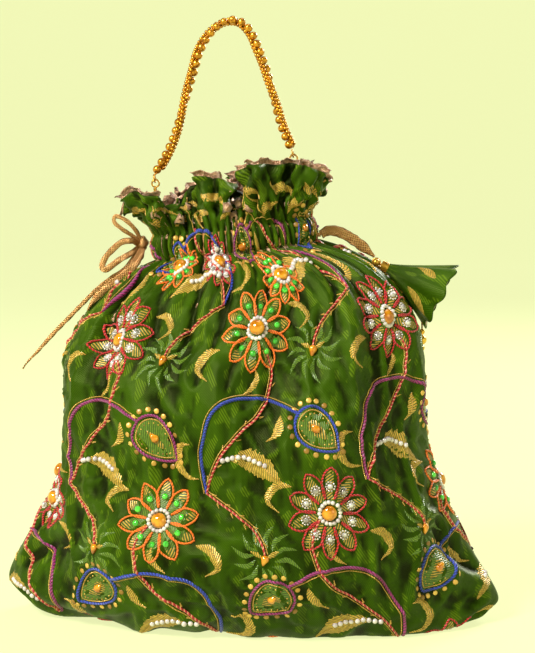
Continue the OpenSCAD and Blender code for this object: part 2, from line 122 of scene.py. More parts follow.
def even_curve(points: list | Array, count: int) -> Array:
    """Catmull-Rom curve through points, resampled at even spacing.

    Args:
        points: rows of two or three coordinates.
        count: how many points come back.

    Returns:
        count rows along the curve.
    """
    p = np.asarray(points, float)
    fine = smooth_rows(p, np.linspace(0, len(p) - 1, max(8 * len(p), 4 * count)))
    run = run_along(fine)
    even = np.linspace(0, run[-1], count)
    return np.stack([np.interp(even, run, axis) for axis in fine.T], axis=1)


def run_along(points: Array) -> Array:
    """Length from the first point to each point."""
    return np.concatenate([[0.0], np.cumsum(np.linalg.norm(np.diff(points, axis=0), axis=1))])


def unit(v: Array) -> Array:
    """Vectors scaled to length one."""
    return v / np.maximum(np.linalg.norm(v, axis=-1, keepdims=True), 1e-12)


def soft_noise(x: Array, y: Array, wave: float, seed: int, terms: int = 9) -> Array:
    """Smooth noise of about -1 to 1: a sum of sines in seeded directions near one wavelength.

    Args:
        x: coordinates one way.
        y: coordinates the other way.
        wave: wavelength, in the same unit.
        seed: chooses the sines.
        terms: how many sines.

    Returns:
        One value for each pair of coordinates.
    """
    rng = np.random.default_rng(seed)
    turn, phase = rng.uniform(0, 2 * math.pi, (2, terms))
    pace = 2 * math.pi / (wave * rng.uniform(0.7, 1.5, terms))
    total = sum(np.sin(k * (x * math.cos(t) + y * math.sin(t)) + p)
                for k, t, p in zip(pace, turn, phase))
    return total / math.sqrt(terms)


def creases(x: Array, y: Array, wave: float, seed: int) -> Array:
    """Sharp-crested wrinkles of about -0.6 to 0.4: (1 - |noise|)^3 along the noise's zero lines."""
    return np.clip(1 - np.abs(soft_noise(x, y, wave, seed)), 0, 1) ** 3 - 0.6


# ---------------------------------------------------------------- meshes


class MeshBag:
    """Gathers grids and repeated shapes into one mesh, with a UV map in millimetres."""

    def __init__(self) -> None:
        """Starts empty."""
        self.points: list[Array] = []
        self.corners: list[Array] = []
        self.sizes: list[Array] = []
        self.uvs: list[Array] = []
        self.total = 0

    def _faces(self, base: int, faces: Array, uv: Array) -> None:
        """Adds faces, rows of indices counted from base, with one UV for each corner.

        Args:
            base: index of the first point.
            faces: rows of indices.
            uv: one UV for each corner.
        """
        self.corners.append((faces + base).reshape(-1))
        self.sizes.append(np.full(len(faces), faces.shape[1]))
        self.uvs.append(uv.reshape(-1, 2))

    def _points(self, points: Array) -> int:
        """Adds points and returns the index of the first.

        Args:
            points: points to add, any grid of them.

        Returns:
            The index of the first.
        """
        base = self.total
        self.points.append(points.reshape(-1, 3))
        self.total += points.size // 3
        return base

    def grid(self, points: Array, uv: Array, closed: bool = False, capped: bool = False,
             keep: Array | None = None) -> None:
        """Adds a grid of quads, whose columns may close on themselves.

        Args:
            points: rows by columns by 3; columns x rows points outwards.
            uv: rows by columns by 2, with one more column where closed.
            closed: joins the last column to the first.
            capped: closes the first and last rows with a fan to their middles.
            keep: rows by columns of bool; a quad stays if all its corners are kept.
        """
        rows, cols = points.shape[:2]
        r, c = np.meshgrid(np.arange(rows - 1), np.arange(cols if closed else cols - 1), indexing="ij")
        r, c = r.ravel(), c.ravel()
        nxt = (c + 1) % cols
        faces = np.stack([r * cols + c, r * cols + nxt, (r + 1) * cols + nxt, (r + 1) * cols + c], 1)
        corner_uv = np.stack([uv[r, c], uv[r, c + 1], uv[r + 1, c + 1], uv[r + 1, c]], 1)
        if keep is not None:
            stays = keep.ravel()[faces].all(axis=1)
            faces, corner_uv = faces[stays], corner_uv[stays]
            used, back = np.unique(faces, return_inverse=True)
            faces = back.reshape(faces.shape)
            points = points.reshape(-1, 3)[used]
        self._faces(self._points(points), faces, corner_uv)
        if capped:
            ring = np.arange(cols)
            for row, flip in ((0, True), (rows - 1, False)):
                cap = np.vstack([points[row], points[row].mean(axis=0)])
                a, b = (np.roll(ring, -1), ring) if flip else (ring, np.roll(ring, -1))
                tri = np.stack([a, b, np.full(cols, cols)], 1)
                self._faces(self._points(cap), tri, np.broadcast_to(uv[row, 0], (cols, 3, 2)).copy())

    def copies(self, placed: Array, faces: list[Array], uv: Array | None = None) -> None:
        """Adds one shape many times.

        Args:
            placed: copies by template points by 3.
            faces: the template's faces, as arrays of one corner count each.
            uv: one UV for each copy, so that a pattern can tell them apart.
        """
        count, size = placed.shape[:2]
        marks = np.zeros((count, 2)) if uv is None else uv
        base = self._points(placed)
        for part in faces:
            spread = part[None] + (np.arange(count) * size)[:, None, None]
            self._faces(base, spread.reshape(-1, part.shape[1]), np.repeat(marks, part.size, axis=0))

    def build(self, name: str, body: Body, material: Material, slot: str) -> Object:
        """Makes the object, smooth shaded, riding on its body.

        Args:
            name: the piece's name.
            body: the CAD body that it moves with.
            material: its material.
            slot: the record's material slot; not used.

        Returns:
            The new object, at the origin.
        """
        points = np.concatenate(self.points) * MM
        corners, sizes = np.concatenate(self.corners), np.concatenate(self.sizes)
        mesh = bpy.data.meshes.new(name)
        mesh.vertices.add(len(points))
        mesh.vertices.foreach_set("co", points.ravel())
        mesh.loops.add(len(corners))
        mesh.loops.foreach_set("vertex_index", corners.astype(np.int32))
        mesh.polygons.add(len(sizes))
        starts = np.concatenate([[0], np.cumsum(sizes)[:-1]]).astype(np.int32)
        mesh.polygons.foreach_set("loop_start", starts)
        mesh.polygons.foreach_set("use_smooth", np.ones(len(sizes), bool))
        layer = mesh.uv_layers.new(name="cloth_mm")
        layer.data.foreach_set("uv", np.concatenate(self.uvs).ravel())
        mesh.update(calc_edges=True)
        mesh.validate()
        mesh.materials.append(material)
        piece = bpy.data.objects.new(name, mesh)
        bpy.context.scene.collection.objects.link(piece)
        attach(piece, body.value)
        LOG.info("%s: %d faces", name, len(sizes))
        return piece


def weld(piece: Object, distance: float = 1e-6) -> None:
    """Merges points of a piece that lie together, so that seams and caps are closed.

    Args:
        piece: the piece.
        distance: how near counts as together, in metres.
    """
    work = bmesh.new()
    work.from_mesh(piece.data)
    bmesh.ops.remove_doubles(work, verts=work.verts, dist=distance)
    work.to_mesh(piece.data)
    work.free()


def thicken(piece: Object, wall: float) -> None:
    """Gives a sheet its wall, towards the inside, in millimetres."""
    solid = piece.modifiers.new("wall", "SOLIDIFY")
    solid.thickness, solid.offset, solid.use_rim = wall * MM, -1.0, True


def ball(sides: int, rings: int) -> tuple[Array, list[Array]]:
    """A unit ball of sides round and rings high, closed at both poles.

    Args:
        sides: sides round.
        rings: bands high.

    Returns:
        Its points, and its faces as triangles and quads.
    """
    high = np.linspace(0, math.pi, rings + 1)[1:-1]
    turn = np.arange(sides) * 2 * math.pi / sides
    ring = np.stack([np.outer(np.sin(high), np.cos(turn)), np.outer(np.sin(high), np.sin(turn)),
                     np.repeat(np.cos(high)[:, None], sides, 1)], -1).reshape(-1, 3)
    points = np.vstack([[[0, 0, 1]], ring, [[0, 0, -1]]])
    a, b = np.arange(sides), (np.arange(sides) + 1) % sides
    last = 1 + (rings - 2) * sides
    fans = np.vstack([np.stack([np.zeros(sides, int), 1 + a, 1 + b], 1),
                      np.stack([np.full(sides, len(points) - 1), last + b, last + a], 1)])
    bands = [np.stack([1 + k * sides + a, 1 + (k + 1) * sides + a, 1 + (k + 1) * sides + b,
                       1 + k * sides + b], 1) for k in range(rings - 2)]
    return points, [fans] + ([np.vstack(bands)] if bands else [])


def tube(bag: MeshBag, line: Array, radius: Array | float, sides: int = 12) -> None:
    """Adds a closed round tube along a line.

    Args:
        bag: where it goes.
        line: points along the middle.
        radius: one radius, or one for each point.
        sides: how many sides it has.
    """
    ahead = unit(np.gradient(line, axis=0))
    ref = np.array([0.0, 1.0, 0.0]) if abs(ahead[0][1]) < 0.8 else np.array([1.0, 0.0, 0.0])
    side = unit(np.cross(ahead, ref))
    up = np.cross(side, ahead)
    turn = np.arange(sides) * 2 * math.pi / sides
    r = np.broadcast_to(np.asarray(radius, float), (len(line),))[:, None, None]
    points = (line[:, None] + r * (np.cos(turn)[None, :, None] * side[:, None]
                                   + np.sin(turn)[None, :, None] * up[:, None]))
    run = run_along(line)
    around = np.arange(sides + 1) / sides * 2 * math.pi * float(np.mean(r))
    uv = np.stack(np.meshgrid(run, around, indexing="ij"), -1)[..., ::-1]
    bag.grid(points[:, ::-1], uv, closed=True, capped=True)


def balls_at(bag: MeshBag, centres: Array, radii: Array | float, sides: int, rings: int) -> None:
    """Adds a ball at each centre.

    Args:
        bag: where they go.
        centres: one row for each ball.
        radii: one radius, or one for each ball.
        sides: sides round.
        rings: bands high.
    """
    points, faces = ball(sides, rings)
    scale = np.broadcast_to(np.asarray(radii, float), (len(centres),))[:, None, None]
    marks = np.stack([np.arange(len(centres)) * 7.31, np.arange(len(centres)) * 3.77], 1)
    bag.copies(centres[:, None] + scale * points[None], faces, marks)


# ---------------------------------------------------------------- finishes


class Nodes:
    """A material's node tree, with short calls that add and join nodes."""

    def __init__(self, name: str) -> None:
        """Makes an empty material of that name.

        Args:
            name: the material's name.
        """
        self.material = bpy.data.materials.new(name)
        self.material.use_nodes = True
        self.tree = self.material.node_tree
        self.tree.nodes.clear()
        self.shader = self.add("ShaderNodeBsdfPrincipled")
        out = self.add("ShaderNodeOutputMaterial")
        self.join(self.shader.outputs["BSDF"], out.inputs["Surface"])

    def add(self, kind: str, props: dict | None = None, **values: object) -> bpy.types.Node:
        """Adds a node.

        Args:
            kind: the node's type name.
            props: its own settings.
            values: its sockets, by name with _ for a space; a socket value is joined.

        Returns:
            The node.
        """
        node = self.tree.nodes.new(kind)
        for key, value in (props or {}).items():
            setattr(node, key, value)
        for key, value in values.items():
            numbered = key[0] == "n" and key[1:].isdigit()
            socket = node.inputs[int(key[1:]) if numbered else key.replace("_", " ")]
            if isinstance(value, Socket):
                self.join(value, socket)
            else:
                socket.default_value = value
        return node

    def join(self, start: Socket, end: Socket) -> None:
        """Joins two sockets."""
        self.tree.links.new(start, end)

    def set(self, **values: object) -> None:
        """Sets the shader's sockets, by name with _ for a space.

        Args:
            values: sockets by name; a socket value is joined.
        """
        for key, value in values.items():
            socket = self.shader.inputs[key.replace("_", " ")]
            if isinstance(value, Socket):
                self.join(value, socket)
            else:
                socket.default_value = value

    def cloth_uv(self) -> Socket:
        """The piece's own UV map, in millimetres."""
        return self.add("ShaderNodeUVMap", {"uv_map": "cloth_mm"}).outputs["UV"]

    def place(self) -> Socket:
        """Object coordinates, in metres."""
        return self.add("ShaderNodeTexCoord").outputs["Object"]

    def turned(self, vector: Socket, angle: float, x: float = 1, y: float = 1) -> Socket:
        """Coordinates turned by an angle in degrees and scaled."""
        return self.add("ShaderNodeMapping", Vector=vector, Rotation=(0, 0, math.radians(angle)),
                        Scale=(x, y, 1)).outputs["Vector"]

    def noise(self, vector: Socket, scale: float, detail: float = 2) -> Socket:
        """Noise of 0 to 1."""
        return self.add("ShaderNodeTexNoise", Vector=vector, Scale=scale, Detail=detail).outputs["Fac"]

    def stripes(self, vector: Socket, period: float, wobble: float = 0.0) -> Socket:
        """Soft stripes across X, one every period."""
        return self.add("ShaderNodeTexWave", {"wave_profile": "SIN"}, Vector=vector,
                        Scale=math.pi / (10 * period), Distortion=wobble).outputs["Fac"]

    def math(self, op: str, a: object, b: object = 0.0) -> Socket:
        """One sum of two numbers or sockets."""
        return self.add("ShaderNodeMath", {"operation": op}, n0=a, n1=b).outputs[0]

    def ramp(self, fac: Socket, *stops: tuple) -> Socket:
        """A colour ramp; each stop is a place and a colour name or RGB.

        Args:
            fac: the place on the ramp.
            stops: places with their colours.

        Returns:
            The ramp's colour.
        """
        node = self.add("ShaderNodeValToRGB", Fac=fac)
        band = node.color_ramp
        while len(band.elements) < len(stops):
            band.elements.new(0.5)
        for element, (at, colour) in zip(band.elements, stops):
            element.position, element.color = at, paint(colour)
        return node.outputs["Color"]

    def mix(self, fac: object, a: object, b: object, how: str = "MIX") -> Socket:
        """Mixes two colours.

        Args:
            fac: share of the second colour.
            a: first colour or socket.
            b: second colour or socket.
            how: the blend type.

        Returns:
            The mixed colour.
        """
        node = self.tree.nodes.new("ShaderNodeMix")
        node.data_type, node.blend_type = "RGBA", how
        for index, value in ((0, fac), (6, a), (7, b)):
            if isinstance(value, Socket):
                self.join(value, node.inputs[index])
            else:
                node.inputs[index].default_value = value if index == 0 else paint(value)
        return node.outputs[2]

    def bump(self, height: Socket, depth: float, strength: float = 1.0) -> None:
        """Bump from a height of 0 to 1, depth in metres."""
        node = self.add("ShaderNodeBump", Height=height, Distance=depth, Strength=strength)
        self.join(node.outputs["Normal"], self.shader.inputs["Normal"])


def paint(colour: str | tuple) -> tuple[float, float, float, float]:
    """Linear RGBA from an sRGB hex string, or from linear RGB as it is.

    Args:
        colour: hex string, or linear RGB.

    Returns:
        Linear RGBA.
    """
    if not isinstance(colour, str):
        return (*colour[:3], 1.0)
    srgb = [int(colour[k:k + 2], 16) / 255 for k in (0, 2, 4)]
    return (*[c / 12.92 if c <= 0.04045 else ((c + 0.055) / 1.055) ** 2.4 for c in srgb], 1.0)


@dataclass(frozen=True)
class Brocade:
    """Green silk brocade: fine twill, shot yarns, faint woven sprigs, a soft sheen, and painted shade that
    darkens its folds.
    """

    lit: str = "3d5a07"
    deep: str = "1b3003"
    twill: float = 0.75

    def make(self, name: str) -> Material:
        """Makes twill and slub stripes over a cloth UV, tinted by slow noise, and darkened by painted shade
        where the cloth lies in its folds.

        Args:
            name: the material's name.

        Returns:
            The material.
        """
        n = Nodes(name)
        uv = n.cloth_uv()
        twill = n.stripes(n.turned(uv, 35), self.twill, 0.4)
        yarn = n.noise(n.turned(uv, 0, 0.12, 2.2), 1.0, 3)
        slow = n.noise(uv, 0.03, 3)
        base = n.ramp(slow, (0.3, self.deep), (0.7, self.lit))
        base = n.mix(n.math("MULTIPLY", yarn, 0.5), base, "86a020", "SOFT_LIGHT")
        base = n.mix(n.math("MULTIPLY", twill, 0.35), base, "40600a", "MULTIPLY")
        figure = n.ramp(n.noise(n.turned(uv, 30, 0.16, 0.09), 1.0, 1), (0.56, (0, 0, 0)), (0.6, (1, 1, 1)))
        hatch = n.stripes(n.turned(uv, -30), 1.3)
        base = n.mix(n.math("MULTIPLY", n.math("MULTIPLY", figure, hatch), 0.3), base, "7f9c1e")
        # Painted shade: the colour darkens towards near black by each point's depth in the cloth's folds.
        painted_fold_shade = n.add("ShaderNodeAttribute", {"attribute_name": "painted_fold_shade"}).outputs["Fac"]
        base = n.mix(n.math("MULTIPLY", painted_fold_shade, 0.95), base, "050b01")
        n.set(Base_Color=base, Roughness=0.4, Sheen_Weight=0.04, Sheen_Roughness=0.4,
              Sheen_Tint=(0.6, 0.8, 0.05, 1), Specular_IOR_Level=0.16,
              Specular_Tint=(0.75, 0.95, 0.25, 1))
        height = n.math("ADD", n.math("MULTIPLY", twill, 0.6), n.math("MULTIPLY", yarn, 0.7))
        n.bump(height, 0.00016, 0.8)
        return n.material


@dataclass(frozen=True)
class Thread:
    """Rope stitch of two plies: stripes that lean across the strip, with a silk gloss."""

    first: str
    second: str
    pitch: float = 1.6
    gloss: float = 0.42
    share: float = 0.3

    def make(self, name: str) -> Material:
        """Makes leaning stripes over the strip's own UV.

        Args:
            name: the material's name.

        Returns:
            The material.
        """
        n = Nodes(name)
        uv = n.cloth_uv()
        ply = n.stripes(n.turned(uv, 48), self.pitch * 0.7)
        hair = n.noise(n.turned(uv, 48, 6, 0.8), 1.0, 2)
        colour = n.ramp(ply, (self.share - 0.12, self.second), (self.share + 0.08, self.first))
        colour = n.mix(n.math("MULTIPLY", hair, 0.5), colour, "1a0c04", "SOFT_LIGHT")
        n.set(Base_Color=colour, Roughness=self.gloss, Sheen_Weight=0.15, Specular_IOR_Level=0.5)
        n.bump(n.math("ADD", ply, n.math("MULTIPLY", hair, 0.3)), 0.0003)
        return n.material


@dataclass(frozen=True)
class WovenGold:
    """Flat gold yarn woven or couched in close slanting rows, green ground showing between."""

    gold: str = "e0b24c"
    shade: str = "a67c2c"
    ground: str = "3c560a"
    pitch: float = 1.0
    metal: float = 0.3
    open: float = 0.2

    def make(self, name: str) -> Material:
        """Makes rows across the strip with thin gaps of ground.

        Args:
            name: the material's name.

        Returns:
            The material.
        """
        n = Nodes(name)
        uv = n.cloth_uv()
        rows = n.stripes(n.turned(uv, 40), self.pitch)
        cloud = n.noise(uv, 0.6, 3)
        gold = n.ramp(cloud, (0.3, self.shade), (0.65, self.gold))
        gap = n.ramp(rows, (self.open, (1, 1, 1)), (self.open + 0.2, (0, 0, 0)))
        n.set(Base_Color=n.mix(gap, gold, self.ground), Metallic=n.math("MULTIPLY", n.math(
            "SUBTRACT", 1.0, gap), self.metal), Roughness=0.36)
        n.bump(rows, 0.0002)
        return n.material


@dataclass(frozen=True)
class Tissue:
    """Crumpled metallic tissue, pinkish gold."""

    light: str = "c69c7e"
    dark: str = "7c4e30"

    def make(self, name: str) -> Material:
        """Makes sharp creases and fine weave on Object coordinates.

        Args:
            name: the material's name.

        Returns:
            The material.
        """
        n = Nodes(name)
        place = n.place()
        crease = n.noise(place, 420, 6)
        weave = n.stripes(n.turned(n.cloth_uv(), 0), 0.6)
        colour = n.ramp(crease, (0.32, self.dark), (0.62, self.light))
        n.set(Base_Color=colour, Roughness=0.3, Metallic=0.45, Sheen_Weight=0.2)
        n.bump(n.math("ADD", n.math("MULTIPLY", crease, 3.0), n.math("MULTIPLY", weave, 0.3)), 0.0006)
        return n.material


@dataclass(frozen=True)
class MeshRibbon:
    """Open metallic ribbon: crossing wires, darker between, with a bright selvedge."""

    wire: str = "b97f48"
    gap: str = "5a3216"
    pitch: float = 0.9

    def make(self, name: str) -> Material:
        """Makes two crossing sets of stripes over the ribbon's UV.

        Args:
            name: the material's name.

        Returns:
            The material.
        """
        n = Nodes(name)
        uv = n.cloth_uv()
        one = n.stripes(n.turned(uv, 45), self.pitch)
        two = n.stripes(n.turned(uv, -45), self.pitch)
        net = n.math("MAXIMUM", one, two)
        cloud = n.noise(uv, 0.5, 2)
        wire = n.ramp(cloud, (0.3, self.wire), (0.7, "dcae70"))
        n.set(Base_Color=n.mix(n.ramp(net, (0.45, (0, 0, 0)), (0.75, (1, 1, 1))), self.gap, wire),
              Metallic=0.65, Roughness=0.34)
        n.bump(net, 0.00025)
        return n.material


@dataclass(frozen=True)
class Gilt:
    """Gold-coloured beads or wire with small dents and a darker wash."""

    light: str = "f7c948"
    dark: str = "cf9420"
    rough: float = 0.26
    metal: float = 0.7
    scale: float = 700.0

    def make(self, name: str) -> Material:
        """Makes a noise wash and fine dents on Object coordinates.

        Args:
            name: the material's name.

        Returns:
            The material.
        """
        n = Nodes(name)
        place = n.place()
        wash = n.noise(place, self.scale, 3)
        n.set(Base_Color=n.ramp(wash, (0.3, self.dark), (0.62, self.light)), Metallic=self.metal,
              Roughness=self.rough, Coat_Weight=0.3, Coat_Roughness=0.1)
        n.bump(n.noise(place, self.scale * 2, 3), 0.00012, 0.7)
        return n.material


@dataclass(frozen=True)
class Glass:
    """Glass bead or foil-backed stone: a coloured heart under a clear coat."""

    heart: str
    rim: str
    scale: float = 260.0
    clear: float = 0.0
    rough: float = 0.08
    metal: float = 0.0

    def make(self, name: str) -> Material:
        """Makes a slow wash from rim to heart, with a glossy coat.

        Args:
            name: the material's name.

        Returns:
            The material.
        """
        n = Nodes(name)
        wash = n.noise(n.place(), self.scale, 2)
        n.set(Base_Color=n.ramp(wash, (0.35, self.rim), (0.62, self.heart)), Roughness=self.rough,
              Metallic=self.metal, Transmission_Weight=self.clear, IOR=1.5, Coat_Weight=0.8,
              Coat_Roughness=0.03)
        return n.material


@dataclass(frozen=True)
class Plain:
    """Matt studio surface, faintly mottled."""

    colour: str
    glow: float = 0.0
    share: float = 0.2

    def make(self, name: str) -> Material:
        """Makes a near-even colour, with some glow of its own.

        Args:
            name: the material's name.

        Returns:
            The material.
        """
        n = Nodes(name)
        tone = n.mix(n.math("MULTIPLY", n.noise(n.place(), 2.0, 2), 0.02), self.colour, "ffffff")
        dim = n.mix(1.0 - self.share, tone, "000000")
        n.set(Base_Color=dim, Roughness=0.9, Specular_IOR_Level=0.1, Emission_Color=tone,
              Emission_Strength=self.glow)
        return n.material


# ---------------------------------------------------------------- the cloth


@dataclass
class Cloth:
    """One panel of the sack, front or back, from its foot seam up to the frill's edge.

    Cloth coordinates are millimetres on the flat: X across from -half_cloth to half_cloth, Z up,
    with 0 where the foot turns up. The back is the front turned half round.
    """

    side: Side
    half_cloth: float = 145.0
    cell: float = 1.6
    casing: float = 13.0
    neck_tilt: float = 6.8
    neck_shift: float = 8.0
    neck_height: float = 192.0
    half_neck: float = 41.0
    half_neck_depth: float = 21.0
    pleats: int = 15
    pleat_depth: float = 5.4
    fold_depth: float = 7.5
    drag_depth: float = 3.2
    deepest: float = 9.0
    highest: float = 3.2
    frill: float = 30.0
    floor_gap: float = 0.3
    lining_gap: float = 0.9
    lining_wall: float = 0.3
    edging_wall: float = 0.35
    wall: float = 0.9
    points: Array = field(init=False)
    normals: Array = field(init=False)
    across: Array = field(init=False)
    up: Array = field(init=False)

    def stations(self) -> Array:
        """The pouch's stations, as in the CAD: side height, half width, middle height, half depth,
        shift left, squareness, slope across, lateness of the rise.

        Returns:
            One row for each station, from the foot seam up.
        """
        top = self.neck_height
        return np.array([
            [6, 117, 0, 0, 0, 1.5, -0.015, 6], [15, 130, 0, 46, 0, 1.4, -0.025, 6],
            [46, 114, 34, 70, 1, 1.2, -0.03, 3], [84, 97, 84, 69, 2, 1, 0, 2],
            [top - 62, 94, top - 64, 62, 5, 0.9, 0, 2], [top - 31, 85, top - 30, 49, 2, 0.85, 0.02, 2],
            [top - 11, 66, top - 10, 34, 1, 0.8, 0.05, 2],
            [top, self.half_neck, top, self.half_neck_depth, self.neck_shift, 0.8,
             math.tan(math.radians(self.neck_tilt)), 2]])

    def pouch(self, u: Array, t: Array) -> Array:
        """Points on the plain pouch: u runs -1 to 1 across the panel, t up the stations.

        A row is a squared half ellipse of the station's half width and half depth, and its height
        rises from the middle to the side seam as a late power of the sine.

        Args:
            u: place across, -1 to 1.
            t: place up, in stations.

        Returns:
            Points in the part's frame.
        """
        s = smooth_rows(self.stations(), t)
        flip = 1.0 if self.side is Side.FRONT else -1.0
        a = np.radians(90 * u) * flip
        x = s[..., 1] * np.sin(a) - s[..., 4]
        low = np.maximum(s[..., 2], 0)
        z = low + (s[..., 0] - low) * np.abs(np.sin(a)) ** s[..., 7]
        depth = np.maximum(s[..., 3], 0) * np.maximum(np.cos(a), 0) ** s[..., 5]
        return np.stack([x, self.side.value * depth, z + s[..., 6] * (x + s[..., 4])], -1)

    def plain_rows(self) -> Array:
        """The pouch as a grid of even cloth cells: rows by length up the middle, columns by share
        of each row's length.

        Returns:
            Rows by columns by 3.
        """
        fine_t = np.linspace(0, 7, 1400)
        length = run_along(self.pouch(np.zeros_like(fine_t), fine_t))
        at_foot = np.interp(1.0, fine_t, length)
        rows = int(round(length[-1] / self.cell))
        t = np.interp(np.linspace(0, length[-1], rows + 1), length, fine_t)
        self.up = np.linspace(0, length[-1], rows + 1) - at_foot
        fine_u = np.linspace(-1, 1, 361)
        fine = self.pouch(fine_u[None, :], np.maximum(t, 0.02)[:, None])
        steps = np.linalg.norm(np.diff(fine, axis=1), axis=2)
        run = np.concatenate([np.zeros((len(t), 1)), np.cumsum(steps, 1)], 1)
        share = run / run[:, -1:]
        q = (self.across / self.half_cloth + 1) / 2
        u = np.stack([np.interp(q, row, fine_u) for row in share])
        self.neck_u = u[-1]
        return self.pouch(u, t[:, None] * np.ones_like(u))

    def neck_frame(self, local: Array) -> Array:
        """Points of the tilted neck's frame brought into the part's frame.

        Args:
            local: points in the neck's frame.

        Returns:
            The same points in the part's frame.
        """
        c, s = math.cos(math.radians(self.neck_tilt)), math.sin(math.radians(self.neck_tilt))
        x, y, z = local[..., 0], local[..., 1], local[..., 2]
        return np.stack([x * c - z * s - self.neck_shift, y, x * s + z * c + self.neck_height], -1)

    def casing_rows(self) -> Array:
        """The casing: the neck's outline, swelling between its two rows of stitches.

        Returns:
            Rows by columns by 3, above the neck seam.
        """
        count = int(round(self.casing / self.cell))
        h = np.linspace(0, 1, count + 1)[1:, None]
        u = self.neck_u[None, :] * (1 if self.side is Side.FRONT else -1)
        out = 1.9 * np.sqrt(np.maximum(np.sin(math.pi * h), 0))
        a = np.radians(90 * u)
        x = (self.half_neck + out) * np.sin(a)
        y = self.side.value * (self.half_neck_depth + out) * np.maximum(np.cos(a), 0) ** 0.8
        self.up = np.concatenate([self.up, self.up[-1] + self.casing * h[:, 0]])
        return self.neck_frame(np.stack([x, y, self.casing * h * np.ones_like(x)], -1))

    def frill_edge(self) -> Array:
        """The frill's top edge from the left seam to the right one, over its lobes and folds.

        Returns:
            One point for each column of the cloth.
        """
        if self.side is Side.FRONT:
            path = [(-59, 3, 217), (-65, -5, 217), (-65, -14, 222), (-60, -23, 225), (-52, -28, 225),
                    (-45, -27, 223), (-39, -20, 220), (-38, -10, 220), (-35, -3, 224), (-30, -3, 229),
                    (-26, -11, 232.5), (-20, -17, 234), (-13, -18, 233), (-8, -13, 230), (-5, -5, 226),
                    (-2, -3, 225), (0, -9, 229), (-3, -18, 234), (-2, -27, 238), (4, -32, 240),
                    (11, -30, 240.5), (17, -23, 240), (22, -22, 240.5), (27, -27, 240),
                    (33, -25, 238.5), (38, -17, 236),
                    (41, -7, 231), (38, 2, 228)]
        else:
            path = [(37, 2, 228), (40, 9, 231), (36, 18, 237), (28, 23, 240), (20, 24, 239), (14, 19, 236),
                    (9, 17, 233), (3, 22, 234), (-5, 27, 235), (-13, 25, 233), (-17, 18, 229),
                    (-22, 16, 227), (-28, 22, 229), (-36, 25, 227), (-43, 23, 224), (-46, 16, 221),
                    (-51, 14, 219), (-57, 17, 221), (-62, 13, 220), (-63, 7, 217), (-59, 3, 217)]
        return even_curve(np.array(path, float) - [0, 0, 3], len(self.across))

    def frill_rows(self, foot: Array) -> Array:
        """The frill: each column bends from the casing's top up its axis and out to the edge.

        Args:
            foot: the casing's top row.

        Returns:
            Rows by columns by 3, above the casing.
        """
        top = self.frill_edge()
        flare = self.side.value * np.array([0, 1.0, 0])
        rise = self.neck_frame(np.array([0.0, 0, 1])) - self.neck_frame(np.zeros(3))
        count = int(round(self.frill / self.cell))
        v = np.linspace(0, 1, count + 1)[1:, None, None]
        lobe = np.clip((self.side.value * top[:, 1] - 12) / 14, -1, 1)[None, :, None]
        knee = foot + rise * 12 + flare * (1.5 + 5.0 * lobe) + (top - foot) * np.array([0.3, 0.45, 0.0])
        x = self.across[None, :, None]
        turn = math.pi * self.pleats * (x / self.half_cloth + 0.035 * soft_noise(x, 0 * x, 50, 63))
        gather = (np.abs(np.sin(turn)) ** 0.7 - 0.7) * v * (1 - v) * 4
        wave = (soft_noise(x, 40 * v, 15, 61 + self.side.value) * 2.4 + soft_noise(x, 25 * v, 6, 67) * 0.7
                + 1.3 * gather)
        points = (1 - v) ** 2 * foot + 2 * v * (1 - v) * knee + v**2 * top
        self.up = np.concatenate([self.up, self.up[-1] + self.frill * v[:, 0, 0]])
        lean = unit(np.cross(np.gradient(points, axis=1), np.gradient(points, axis=0)))
        end = ease(self.half_cloth - np.abs(x), 0, 12)
        return points + lean * wave * ease(v, 0, 0.5) * end

    def depth_of_folds(self, below: int) -> Array:
        """How far each cloth point moves along its normal: pleats that fade down from the neck,
        drag lines between neck and belly, slack dents, and folds round the two corners.

        Args:
            below: how many rows lie below the casing.

        Returns:
            Depths in millimetres, outwards, one for each point.
        """
        x, z = self.across[None, :], self.up[:, None]
        seed = 11 if self.side is Side.FRONT else 12
        neck = self.up[below - 1]
        place = x / self.half_cloth + 0.035 * soft_noise(x, z, 120, seed)
        turn = math.pi * self.pleats * place
        fall = neck - z
        strength = 0.65 + 0.35 * soft_noise(x, 0 * z, 38, seed + 1)
        fine = (np.abs(np.sin(turn)) ** 0.7 - 0.75) * np.exp(-np.maximum(fall, 0) / 24)
        broad_turn = math.pi * self.pleats / 2.6 * (place + 0.06 * soft_noise(x, z, 90, seed + 2)) + seed
        broad = (np.abs(np.sin(broad_turn)) ** 0.6 - 0.75) * ease(fall, 125, 5) * ease(fall, -8, 12)
        long_turn = math.pi * 2.3 * (place + 0.05 * soft_noise(x, z, 150, seed + 3)) + 0.7
        drag = np.sin(2 * long_turn) * ease(fall, 180, 60) * ease(fall, 0, 60)
        depth = (self.pleat_depth * fine * strength + self.fold_depth * broad * strength
                 + self.drag_depth * drag)
        belly = ease(z, -10, 30) * ease(fall, 0, 50)
        upper = ease(z, 70, 150)
        depth += belly * (1.8 * soft_noise(x, z * 1.5, 80, seed + 4)
                          + 2.8 * creases(x, z * (1 - 0.65 * upper), 46, seed + 5)
                          + 1.1 * creases(x + 0.4 * z, z, 24, seed + 6)
                          + 0.25 * soft_noise(x, z, 10, seed + 7))
        for corner in (-1, 1):
            dx, dz = (x - corner * 150) * corner, z - 4
            reach = np.hypot(dx, dz)
            swing = np.arctan2(dz, -dx)
            wrinkle = np.sin(9 * swing + corner + 0.8 * soft_noise(x, z, 50, seed + 8))
            depth += 3.0 * wrinkle * np.exp(-((reach - 45) / 32) ** 2) * ease(reach, 6, 26)
        foot = ease(z, -30, -4) * ease(z, 34, 6)
        depth += foot * (1.3 * np.sin(x / 11 + 2 * soft_noise(x, z, 70, seed + 9))
                         + 0.6 * soft_noise(x, z, 20, seed + 10))
        seam = ease(self.half_cloth - np.abs(x), 0, 14)
        return depth * seam * ease(z, -46, -30)

